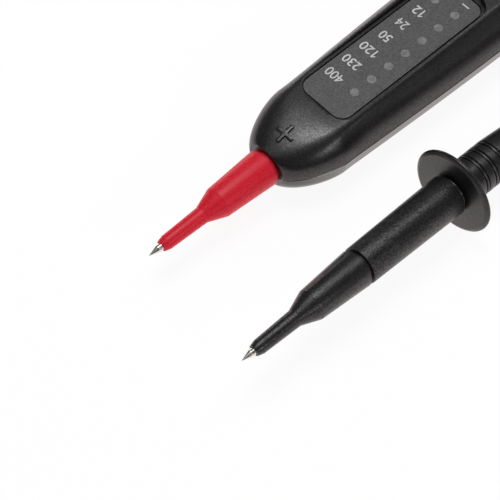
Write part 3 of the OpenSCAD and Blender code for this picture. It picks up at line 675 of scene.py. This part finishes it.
def end_caps(rings, outer_count, step_count, upper):
    """Closes both ends of a shell: outer skin, lining and the stepped rim between them."""
    size = len(rings[0])
    first_step, first_lining = outer_count, outer_count + step_count
    last_lining = size - step_count - 1
    caps = [list(range(outer_count))]
    if upper:
        caps += [list(range(first_step, size)), [0, outer_count - 1, first_step, size - 1]]
    else:
        caps += [list(range(first_lining, last_lining + 1)),
                 [outer_count - 1, first_step, first_lining],
                 [0, outer_count - 1, first_lining, last_lining], [0, last_lining, size - 1],
                 list(range(first_step, first_lining + 1)), list(range(last_lining, size))]
    last_ring = (len(rings) - 1) * size
    faces = []
    for cap in caps:
        faces.append(tuple(cap))
        faces.append(tuple(last_ring + k for k in cap))
    return faces


def plate_outline(length, width, corner, steps=10, spacing=2.0):
    """Points of a rounded plate with the outward direction at each."""
    spots = []
    for cx, cy, first in ((1, 1, 0), (-1, 1, 90), (-1, -1, 180), (1, -1, 270)):
        middle = Vector((cx * (length / 2 - corner), cy * (width / 2 - corner)))
        for i in range(steps + 1):
            a = math.radians(first + 90 * i / steps)
            out = Vector((math.cos(a), math.sin(a)))
            spots.append((middle + out * corner, out))
    dense = []
    for (spot, out), (after, after_out) in zip(spots, spots[1:] + spots[:1]):
        dense.append((spot, out))
        count = int((after - spot).length / spacing)
        for k in range(1, count):
            t = k / count
            dense.append((spot.lerp(after, t), out.lerp(after_out, t).normalized()))
    return dense


def rim_tool(start, length, width, corner):
    """Cuts the sunk rim round the panel, with an edge that rounds over into the deck."""
    outline = plate_outline(length, width, corner)
    middle = start + length / 2
    turns = [math.radians(d) for d in (15, 30, 45, 60, 75)]
    levels = [(0.0, "floor"), (0.0, -LIP_R)]
    levels += [(LIP_R * (1 - math.cos(a)), LIP_R * (math.sin(a) - 1)) for a in turns]
    levels += [(LIP_R + LIP_RUNOUT, LIP_RISE), (LIP_R + LIP_RUNOUT, "top")]
    fixed = {"floor": PANEL_Z, "top": CUT_TOP}
    points = []
    for offset, level in levels:
        for spot, out in outline:
            p = spot + out * offset
            if level in fixed:
                z = fixed[level]
            else:
                z = max(deck_z(middle + spot.x, spot.y), PANEL_Z + LIP_R + LEAST_LIP) + level
            points.append((middle + p.x, p.y, z))
    return new_tool(points, capped_bands(len(levels), len(outline)), MAIN_NOSE)


def plate_tool(start, length, width, corner, low, high):
    outline = plate_outline(length, width, corner)
    points = [(start + length / 2 + s.x, s.y, z) for z in (low, high) for s, _ in outline]
    return new_tool(points, capped_bands(2, len(outline)), MAIN_NOSE)


def display_pockets():
    """The sunk rim, the panel's seat, the notch at its tail and the light guide's room."""
    start, length = PANEL_START - PANEL_GAP, PANEL_LEN + 2 * PANEL_GAP
    width, corner = PANEL_W + 2 * PANEL_GAP, PANEL_CORNER + PANEL_GAP
    return [
        rim_tool(start, length + RIM_MARGIN, width + 2 * RIM_MARGIN, corner + RIM_MARGIN),
        plate_tool(start, length, width, corner, PANEL_LOW, PANEL_Z + 1),
        plate_tool(start + length - NOTCH_LAP, NOTCH_LAP + RIM_MARGIN + NOTCH_DEPTH, NOTCH_W,
                   NOTCH_CORNER, PANEL_Z, CUT_TOP),
        plate_tool(PANEL_START + GUIDE_MARGIN, PANEL_LEN - 2 * GUIDE_MARGIN, GUIDE_W,
                   GUIDE_CORNER, ROOF_Z - 2, PANEL_LOW + 1)]


def raised_plus():
    """The moulded plus that stands on the nose: one block that follows the skin."""
    half, arm = PLUS_LEN / 2, PLUS_W / 2
    outline = [(-half, -arm), (-arm, -arm), (-arm, -half), (arm, -half), (arm, -arm), (half, -arm),
               (half, arm), (arm, arm), (arm, half), (-arm, half), (-arm, arm), (-half, arm)]
    dense = []
    for a, b in zip(outline, outline[1:] + outline[:1]):
        steps = max(1, round(math.dist(a, b) / PLUS_STEP))
        dense += [(mix(a[0], b[0], i / steps), mix(a[1], b[1], i / steps)) for i in range(steps)]

    def pulled_in(value, inset):
        if abs(value) > arm + 1e-6:
            return value * (1 - inset / half)
        return math.copysign(max(0, abs(value) - inset), value)

    levels = [(0.0, -PLUS_ROOT)] + [(inset, PLUS_H - drop) for inset, drop in PLUS_ROUNDING]
    points = []
    for inset, height in levels:
        for px, py in dense:
            h, y = PLUS_AT + pulled_in(px, inset), PLUS_Y + pulled_in(py, inset)
            points.append((h, y, deck_z(h, y) + height))
    faces = capped_bands(len(levels), len(dense))
    piece = new_piece("plus_sign", points, faces, housing_black, MAIN_NOSE)
    work = bmesh.new()
    work.from_mesh(piece.data)
    bmesh.ops.triangulate(work, faces=[f for f in work.faces if len(f.verts) > 4])
    work.to_mesh(piece.data)
    work.free()
    face_outwards(piece)
    return piece


def housing_bores():
    return [rod_tool(radius, start, end, MAIN_NOSE) for radius, start, end in HOUSING_BORES]


def make_upper_housing():
    piece = shell_skin("housing_upper", True)
    combined(piece, post_tools(PILLAR_R, -0.001, PILLAR_TOP), "UNION")
    tools = display_pockets() + post_tools(PILLAR_BORE_R, -1, PILLAR_BORE_TOP) + housing_bores()
    combined(piece, tools, "DIFFERENCE")
    crisp_shading(piece)
    joined(piece, crisp_shading(raised_plus()))
    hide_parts("top_shell")
    return piece


def make_lower_housing():
    piece = shell_skin("housing_lower", False)
    ribs = [block_tool((x - RIB_HALF_T, -RIB_HALF_W, BOSS_LOW),
                       (x + RIB_HALF_T, RIB_HALF_W, RIB_TOP), MAIN_NOSE) for x in RIB_PLACES]
    combined(piece, post_tools(BOSS_R, BOSS_LOW, BOSS_TOP) + ribs, "UNION")
    trim = block_tool((-TRIM_MARGIN, -TRIM_HALF_W, TRIM_LOW),
                      (HOUSING_LEN + TRIM_MARGIN, TRIM_HALF_W, -AXIS_Z), MAIN_NOSE)
    wells = post_tools(WELL_R, BELOW_FOOT, WELL_TOP) + post_tools(BOSS_BORE_R, BELOW_FOOT, 1)
    combined(piece, [trim] + wells + housing_bores(), "DIFFERENCE")
    crisp_shading(piece)
    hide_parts("bottom_shell")
    return piece


# Tips and grips: profiles of (distance from the pin's point, radius, rounding)


SLEEVE_PROFILE = [
    (3.9, 1.05, 0), (3.9, 1.5, 0.1), (5.6, 1.95, 0.12), (17.1, 2.25, 0.2), (22.5, 4.22, 0.25),
    (37.8, 5.1, 0.22), (37.8, 4.3, 0), (41.0, 4.3, 0), (41.4, 4.8, 0), (42.0, 4.8, 0),
    (42.4, 4.3, 0), (44.7, 4.3, 0), (44.7, 1.05, 0)]
PIN_PROFILE = [
    (0.0, 0.0, 0), (0.02, 0.05, 0), (2.8, 1.0, 0.25), (44.7, 1.0, 0), (44.7, 1.8, 0.15),
    (46.7, 1.8, 0.15), (46.7, 1.0, 0), (51.7, 1.0, 0.2), (51.7, 0.0, 0)]
BARREL_PROFILE = [
    (44.75, 4.35, 0), (42.45, 4.35, 0), (42.45, 4.85, 0), (40.95, 4.85, 0), (40.95, 4.35, 0),
    (HANDLE_START, 4.35, 0.1), (HANDLE_START, 5.15, 0.28), (BARREL_END, 5.6, 0.22),
    (BARREL_END, 4.35, 0), (59.75, 4.35, 0), (59.75, 3.1, 0), (44.75, 3.1, 0)]
GUARD_PROFILE = [
    (59.8, 3.1, 0), (59.8, 4.3, 0.2), (69.85, 4.3, 0), (70.7, 4.6, 0.2),
    (GUARD_START, GUARD_R - 1.0, 0.8), (GUARD_START + 0.5, GUARD_R, 0.6),
    (GUARD_END - 0.3, GUARD_R, 0.6), (GUARD_END + 0.1, GUARD_R - 0.8, 0.6),
    (GUARD_END + 0.1, 6.2, 0.6), (GUARD_END + 1.0, NECK_R, 0.8)]
GRIP_TAIL_PROFILE = [
    (GRIP_END - 4.5, TAIL_RING_R, 0.5), (GRIP_END - TAIL_RING, TAIL_RING_R, 0.5),
    (GRIP_END, 6.0, 0.35), (GRIP_END, 4.05, 0), (GRIP_END - BUSH_WALL, 4.05, 0),
    (GRIP_END - BUSH_WALL, 5.25, 0), (GRIP_END - 11.5, 5.25, 0), (GRIP_END - 15.5, 3.1, 0)]

# One ring groove: (distance from its middle, depth, rounding)
GROOVE_PROFILE = [
    (-0.72, 0, 0.2), (-0.54, 0.42, 0.06), (-0.36, 0.42, 0.06), (-0.28, 0.07, 0.08),
    (0, -0.02, 0.3),
    (0.28, 0.07, 0.08), (0.36, 0.42, 0.06), (0.54, 0.42, 0.06), (0.72, 0, 0.2)]


def tip_sleeve(name, material, place, node):
    piece = turned_piece(name, SLEEVE_PROFILE, material, place, closed=True)
    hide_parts(node)
    return piece


def probe_pin(name, place, node):
    piece = turned_piece(name, PIN_PROFILE, pin_nickel, place, segments=64)
    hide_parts(node)
    return piece


def make_barrel():
    piece = turned_piece("front_barrel", BARREL_PROFILE, barrel_black, SECOND_TIP, segments=128,
                         closed=True)
    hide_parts("probe_barrel")
    return piece


def grip_radius(x):
    """Outer radius of the grip at a distance behind the guard."""
    if x < WAIST_AT:
        return mix(NECK_R, WAIST_R, ease(part_way(x, GROOVE_PLACES[-1], WAIST_AT)))
    if x < THICK_AT:
        return mix(WAIST_R, THICK_R, ease(part_way(x, WAIST_AT, THICK_AT)))
    return mix(THICK_R, NECK_R, ease(part_way(x, THICK_AT, SMOOTH_END)))


def make_grip():
    """Guard, ringed neck, waist and smooth tail in one turned piece."""
    corners = list(GUARD_PROFILE)
    for x in GROOVE_PLACES:
        r = grip_radius(x)
        corners += [(GUARD_END + x + dx, r - depth, rounding)
                    for dx, depth, rounding in GROOVE_PROFILE]
    for i in range(SMOOTH_POINTS):
        x = mix(SMOOTH_START, SMOOTH_END, i / (SMOOTH_POINTS - 1))
        corners.append((GUARD_END + x, grip_radius(x), 0))
    corners += GRIP_TAIL_PROFILE
    piece = turned_piece("guard_and_grip", corners, grip_black, SECOND_TIP, segments=128,
                         closed=True)
    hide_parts("guard_grip")
    return piece


def lead_bush(name, wall_start, wall_end, place, node):
    """Soft bush whose groove holds it in the wall between its two flanges."""
    corners = [
        (wall_start - 1.5, 2.5, 0), (wall_start - 1.5, 5.2, 0.2), (wall_start - SNUG, 5.2, 0),
        (wall_start - SNUG, 4.0, 0), (wall_end + SNUG, 4.0, 0), (wall_end + SNUG, 5.2, 0.35),
        (wall_end + 2.0, 4.9, 0.5), (wall_end + 2.0, 2.5, 0.4)]
    piece = turned_piece(name, corners, bush_rubber, place, closed=True)
    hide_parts(node)
    return piece


# Printed marks


PRINT_Z = AXIS_Z + PANEL_Z + 0.02
MARKS = [("400", 5.3), ("230", 5.3), ("120", 5.1), ("50", 3.3), ("24", 3.3), ("12", 3.1)]
MARK_SHIFT, MARK_Y, MARK_HEIGHT = 0.12, 3.94, 2.75

# Strokes grow by this share of the digits' size; a four fills up sooner than the others
STROKE_GROWTH, STROKE_GROWTH_WITH_FOUR = 0.012, 0.006

# The one: width of the plain bar it takes the place of, its inset and stroke, and its flag
PLAIN_BAR, ONE_INSET, ONE_STROKE = 0.65, 0.26, 0.42
FLAG_REACH, FLAG_END, FLAG_ROOT = 0.6, 1.08, 0.52

# Signs beside the last lamps
SIGN_X, MINUS_Y, PLUS_SIGN_Y = -8.92, -3.2, 3.7
SIGN_STROKE, SIGN_LEN = 0.38, 2.3


def printed_mark(text, x, width):
    """Flat print on the display: reads across the handle, its top towards the tip."""
    curve = bpy.data.curves.new("mark", "FONT")
    curve.body = text
    curve.size = 1.0
    curve.offset = STROKE_GROWTH_WITH_FOUR if "4" in text else STROKE_GROWTH
    curve.resolution_u = 6
    maker = bpy.data.objects.new("mark", curve)
    scene.collection.objects.link(maker)
    mesh = mesh_of(maker)
    bpy.data.objects.remove(maker)
    low = [min(v.co[i] for v in mesh.vertices) for i in (0, 1)]
    high = [max(v.co[i] for v in mesh.vertices) for i in (0, 1)]
    spots = []
    for v in mesh.vertices:
        across = ((v.co.x - low[0]) / (high[0] - low[0]) - 0.5) * width
        up = ((v.co.y - low[1]) / (high[1] - low[1]) - 0.5) * MARK_HEIGHT
        spots.append((x - up, MARK_Y + across, PRINT_Z))
    faces = [tuple(p.vertices) for p in mesh.polygons]
    bpy.data.meshes.remove(mesh)
    if text[0] == "1":
        return one_with_flag(spots, faces, x, MARK_Y - width / 2)
    return spots, faces


def one_with_flag(spots, faces, x, edge):
    """Swaps the plain bar at the start of a number for a one with a slanting flag."""
    top, foot = x - MARK_HEIGHT / 2, x + MARK_HEIGHT / 2
    faces = [f for f in faces if max(spots[i][1] for i in f) > edge + PLAIN_BAR]
    used = sorted({i for f in faces for i in f})
    place = {old: new for new, old in enumerate(used)}
    spots = [spots[i] for i in used]
    faces = [tuple(place[i] for i in f) for f in faces]
    left = edge + ONE_INSET
    right = left + ONE_STROKE
    bar = ((foot, left), (foot, right), (top, right), (top, left))
    flag = ((top, left), (top + FLAG_REACH, left - FLAG_REACH),
            (top + FLAG_END, left - FLAG_REACH), (top + FLAG_ROOT, left))
    for shape in (bar, flag):
        faces.append(tuple(len(spots) + i for i in range(4)))
        spots += [(a, b, PRINT_Z) for a, b in shape]
    return spots, faces


def make_printed_numbers():
    first_x = NOSE_AT + LAMP_START
    points, faces = [], []
    for row, (text, width) in enumerate(MARKS):
        spots, parts = printed_mark(text, first_x + row * LAMP_PITCH + MARK_SHIFT, width)
        faces += [tuple(len(points) + i for i in f) for f in parts]
        points += spots
    return new_piece("printed_numbers", points, faces, print_white)


def make_printed_signs():
    """A minus beyond the long column and a plus beyond the single lamp."""
    across_bar, along_bar = (SIGN_STROKE, SIGN_LEN), (SIGN_LEN, SIGN_STROKE)
    points, faces = [], []
    for y, bars in ((MINUS_Y, [across_bar]), (PLUS_SIGN_Y, [across_bar, along_bar])):
        for along, across in bars:
            faces.append(tuple(len(points) + i for i in range(4)))
            points += [(SIGN_X + sx * along / 2, y + sy * across / 2, PRINT_Z)
                       for sx, sy in ((-1, -1), (1, -1), (1, 1), (-1, 1))]
    return new_piece("printed_signs", points, faces, print_white)


# Screws: profiles of (height over the tip's axis, radius, rounding)


SCREW_HEAD = [(-8.2, 0.0, 0), (-8.2, 1.5, 0.6), (-7.4, 2.3, 0.5), (-6.5, 2.3, 0), (-6.5, 1.25, 0)]
SCREW_POINT = [(5.0, 0.9, 0.2), (5.4, 0.0, 0)]
THREAD_LOW, THREAD_TOP, THREAD_PITCH, THREAD_W = -6.2, 4.6, 0.7, 0.5
THREAD_R, THREAD_ROOT_R = 1.3, 1.05
SLOT_HALF_LEN, SLOT_HALF_W, SLOT_TOP, BELOW_HEAD = 1.3, 0.28, -7.2, -9


def set_inputs(modifier, tree, values):
    for item in tree.interface.items_tree:
        if item.item_type == "SOCKET" and item.in_out == "INPUT" and item.name in values:
            modifier[item.identifier] = values[item.name]


def screw_set_tree():
    """One screw set at each given place."""
    tree = bpy.data.node_groups.new("screw_set", "GeometryNodeTree")
    for name, way, kind in (("Geometry", "INPUT", "Geometry"), ("Screw", "INPUT", "Object"),
                            ("Size", "INPUT", "Float"), ("Finish", "INPUT", "Material"),
                            ("Geometry", "OUTPUT", "Geometry")):
        tree.interface.new_socket(name=name, in_out=way, socket_type="NodeSocket" + kind)
    nodes, links = tree.nodes, tree.links
    given = nodes.new("NodeGroupInput")
    result = nodes.new("NodeGroupOutput")
    pattern = nodes.new("GeometryNodeObjectInfo")
    links.new(given.outputs["Screw"], pattern.inputs["Object"])
    put = nodes.new("GeometryNodeInstanceOnPoints")
    links.new(given.outputs["Geometry"], put.inputs["Points"])
    links.new(pattern.outputs["Geometry"], put.inputs["Instance"])
    links.new(given.outputs["Size"], put.inputs["Scale"])
    real = nodes.new("GeometryNodeRealizeInstances")
    links.new(put.outputs["Instances"], real.inputs["Geometry"])
    paint = nodes.new("GeometryNodeSetMaterial")
    links.new(real.outputs["Geometry"], paint.inputs["Geometry"])
    links.new(given.outputs["Finish"], paint.inputs["Material"])
    links.new(paint.outputs["Geometry"], result.inputs["Geometry"])
    return tree


def screw_pattern():
    """One screw with its thread, its slots facing down."""
    corners = list(SCREW_HEAD)
    x = THREAD_LOW
    while x < THREAD_TOP:
        corners += [(x, THREAD_R, 0), (x + THREAD_W / 2, THREAD_ROOT_R, 0),
                    (x + THREAD_W, THREAD_R, 0)]
        x += THREAD_PITCH
    pattern = turned_piece("screw_pattern", corners + SCREW_POINT, screw_zinc, UPRIGHT, segments=40)
    slots = [block_tool((-a, -b, BELOW_HEAD), (a, b, SLOT_TOP), Matrix.Identity(4))
             for a, b in ((SLOT_HALF_LEN, SLOT_HALF_W), (SLOT_HALF_W, SLOT_HALF_LEN))]
    combined(pattern, slots, "DIFFERENCE")
    return pattern


def make_housing_screws():
    pattern = screw_pattern()
    places = [(NOSE_AT + x, y, AXIS_Z) for x, y in SCREW_PLACES]
    piece = new_piece("housing_screws", places, [], screw_zinc)
    tree = screw_set_tree()
    step = piece.modifiers.new("screws", "NODES")
    step.node_group = tree
    set_inputs(step, tree, {"Screw": pattern, "Size": 1.0, "Finish": screw_zinc})
    baked(piece)
    bpy.data.objects.remove(pattern)
    soften(piece)
    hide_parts("housing_screw_1", "housing_screw_2", "housing_screw_3", "housing_screw_4")
    return piece


# Build


PIECES = [
    (make_upper_housing(), "housing_plastic"),
    (make_lower_housing(), "housing_plastic"),
    (tip_sleeve("tip_sleeve_red", sleeve_red, MAIN_TIP, "red_tip_sleeve"), "red_plastic"),
    (tip_sleeve("tip_sleeve_black", sleeve_black, SECOND_TIP, "black_tip_sleeve"), "black_plastic"),
    (probe_pin("pin_main", MAIN_TIP, "main_probe_pin"), "plated_pin"),
    (probe_pin("pin_second", SECOND_TIP, "second_probe_pin"), "plated_pin"),
    (make_barrel(), "housing_plastic"),
    (make_grip(), "black_plastic"),
    (lead_bush("bush_main", CAVITY_END, HOUSING_LEN, MAIN_NOSE, "main_lead_bush"), "soft_rubber"),
    (lead_bush("bush_second", GRIP_END - BUSH_WALL, GRIP_END, SECOND_TIP, "second_lead_bush"),
     "soft_rubber"),
    (make_printed_numbers(), "panel_film"),
    (make_printed_signs(), "panel_film"),
    (make_housing_screws(), "screw_steel"),
]
for piece, slot in PIECES:
    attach(piece, "root")

# Finish of each node: the first entry whose text starts the node's name counts
NODE_FINISH = [
    ("top_shell", housing_black), ("bottom_shell", under_black), ("display_panel", panel_film),
    ("light_guide", window_clear), ("lamp_shroud", shroud_black), ("lamp_", lamp_pale),
    ("circuit_board", board_green), ("controller_chip", chip_epoxy),
    ("bridge_rectifier", chip_epoxy), ("smoothing_capacitor", capacitor_can),
    ("series_resistor", resistor_lacquer), ("safety_resistor", resistor_lacquer),
    ("thermistor", thermistor_lacquer), ("lead_terminal", socket_brass),
    ("tip_terminal", socket_brass), ("pin_socket", socket_brass),
    ("crimp_terminal", socket_brass), ("red_tip_sleeve", sleeve_red),
    ("black_tip_sleeve", sleeve_black), ("main_probe_pin", pin_nickel),
    ("second_probe_pin", pin_nickel), ("probe_barrel", barrel_black), ("guard_grip", grip_black),
    ("main_lead_bush", bush_rubber), ("second_lead_bush", bush_rubber),
    ("housing_screw", screw_zinc),
]
for name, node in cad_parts.items():
    node.data.materials.clear()
    node.data.materials.append(next(look for start, look in NODE_FINISH if name.startswith(start)))


# Floor, light and camera


# Floor in millimetres: half its side, and how far it lies under the handles
GROUND_HALF, GROUND_Z = 4000.0, -0.05

# Light from above falls off round this direction: (closeness to it, grey)
OVERHEAD = Vector((0.16, 0.165, 0.97))
SKY = [(0.0, 0.035), (0.80, 0.08), (0.92, 0.20), (0.96, 0.50), (0.985, 1.0)]
SKY_STRENGTH = 2.0

# Lamps in metres and watts: name, place, point they face, width, height, power
LAMPS = [
    ("overhead_softbox", (0.01, 0.149, 0.9), (0.01, 0.149, 0.0), 0.22, 0.38, 3.1),
    ("right_softbox", (0.49, 0.010, 0.72), (-0.05, 0.0, 0.0), 0.26, 0.34, 0.60),
    ("back_softbox", (0.66, 0.78, 0.06), (-0.03, 0.0, 0.02), 1.15, 0.12, 1.5),
    ("side_softbox", (-0.04, -0.87, 0.48), (-0.06, 0.0, 0.0), 0.36, 0.22, 1.6),
    ("near_softbox", (0.16, -0.95, 0.14), (-0.05, 0.0, 0.0), 0.70, 0.24, 0.15),
]

# Camera fitted to the photo: place in metres, its axes, and the focal length in pixels
CAMERA_AT = (-0.25272, -0.18577, 0.38374)
CAMERA_RIGHT = Vector((0.73290, -0.68033, -0.00250))
CAMERA_UP = Vector((0.57903, 0.62183, 0.52732))
CAMERA_AHEAD = Vector((0.35719, 0.38792, -0.84967))
FOCAL_PIXELS, IMAGE_PIXELS, SENSOR_WIDTH = 1819.67, 500, 36.0


def math_node(tree, how, first, second):
    node = tree.nodes.new("ShaderNodeMath")
    node.operation = how
    tree.links.new(first, node.inputs[0])
    tree.links.new(second, node.inputs[1])
    return node.outputs[0]


def blend_into(tree, share, first, second, output):
    """Blends two shaders into the output."""
    node = tree.nodes.new("ShaderNodeMixShader")
    tree.links.new(share, node.inputs["Fac"])
    tree.links.new(first, node.inputs[1])
    tree.links.new(second, node.inputs[2])
    tree.links.new(node.outputs["Shader"], output.inputs["Surface"])


def make_floor():
    """A matt floor that also glows: it looks white and lights the handles from below."""
    points = [(sx * GROUND_HALF, sy * GROUND_HALF, GROUND_Z)
              for sx, sy in ((-1, -1), (1, -1), (1, 1), (-1, 1))]
    floor = new_piece("floor", points, [(0, 1, 2, 3)], None)
    material, tree, shader = finish("floor_white", roughness=0.9, specular=0.0)
    shader.inputs["Base Color"].default_value = (0.86, 0.86, 0.86, 1)
    rays = tree.nodes.new("ShaderNodeLightPath").outputs
    camera_ray = rays["Is Camera Ray"]
    glow = tree.nodes.new("ShaderNodeEmission")
    # The glow is pinkish in the handles' reflections and in the light it gives them, and white to
    # the camera.
    tint = ramp(tree, camera_ray, [(0.0, (1.0, 0.92, 0.92)), (1.0, (1, 1, 1))])
    tree.links.new(tint, glow.inputs["Color"])
    level = spread(tree, camera_ray, 1.2, 1.03, 0.0, 1.0)
    bounce = spread(tree, rays["Is Diffuse Ray"], 0.0, 0.3, 0.0, 1.0)
    tree.links.new(math_node(tree, "ADD", level, bounce), glow.inputs["Strength"])
    seen = math_node(tree, "MAXIMUM", camera_ray, rays["Is Glossy Ray"])
    seen = math_node(tree, "MAXIMUM", seen, rays["Is Transmission Ray"])
    share = spread(tree, seen, 0.7, 0.9, 0.0, 1.0)
    blend_into(tree, share, shader.outputs["BSDF"], glow.outputs["Emission"],
               tree.nodes["Material Output"])
    floor.data.materials.append(material)


def make_world():
    """White for the camera, and a soft light from above with a dark surround for the pieces."""
    world = bpy.data.worlds.new("studio")
    scene.world = world
    world.use_nodes = True
    tree = world.node_tree
    sky = tree.nodes["Background"]
    place = tree.nodes.new("ShaderNodeTexCoord")
    toward = tree.nodes.new("ShaderNodeVectorMath")
    toward.operation = "DOT_PRODUCT"
    toward.inputs[1].default_value = OVERHEAD.normalized()
    tree.links.new(place.outputs["Generated"], toward.inputs[0])
    shade = ramp(tree, toward.outputs["Value"], [(at, (grey, grey, grey)) for at, grey in SKY])
    tree.links.new(shade, sky.inputs["Color"])
    sky.inputs["Strength"].default_value = SKY_STRENGTH
    white = tree.nodes.new("ShaderNodeBackground")
    white.inputs["Color"].default_value = (1, 1, 1, 1)
    white.inputs["Strength"].default_value = 1.0
    rays = tree.nodes.new("ShaderNodeLightPath").outputs
    blend_into(tree, rays["Is Camera Ray"], sky.outputs["Background"],
               white.outputs["Background"], tree.nodes["World Output"])


def soft_lamp(name, spot, target, width, height, watts):
    light = bpy.data.lights.new(name, "AREA")
    light.shape = "RECTANGLE"
    light.size = width
    light.size_y = height
    light.energy = watts
    lamp = bpy.data.objects.new(name, light)
    lamp.location = spot
    lamp.rotation_euler = (Vector(target) - Vector(spot)).to_track_quat("-Z", "Y").to_euler()
    scene.collection.objects.link(lamp)


def make_camera():
    camera = bpy.data.cameras.new("camera")
    camera.sensor_width = SENSOR_WIDTH
    camera.lens = FOCAL_PIXELS / IMAGE_PIXELS * SENSOR_WIDTH
    camera.clip_start = 0.01
    holder = bpy.data.objects.new("camera", camera)
    turn = Matrix((CAMERA_RIGHT, CAMERA_UP, -CAMERA_AHEAD)).transposed().to_4x4()
    holder.matrix_world = Matrix.Translation(CAMERA_AT) @ turn
    scene.collection.objects.link(holder)
    scene.camera = holder


make_floor()
make_world()
for lamp in LAMPS:
    soft_lamp(*lamp)
make_camera()
scene.view_settings.view_transform = "Standard"
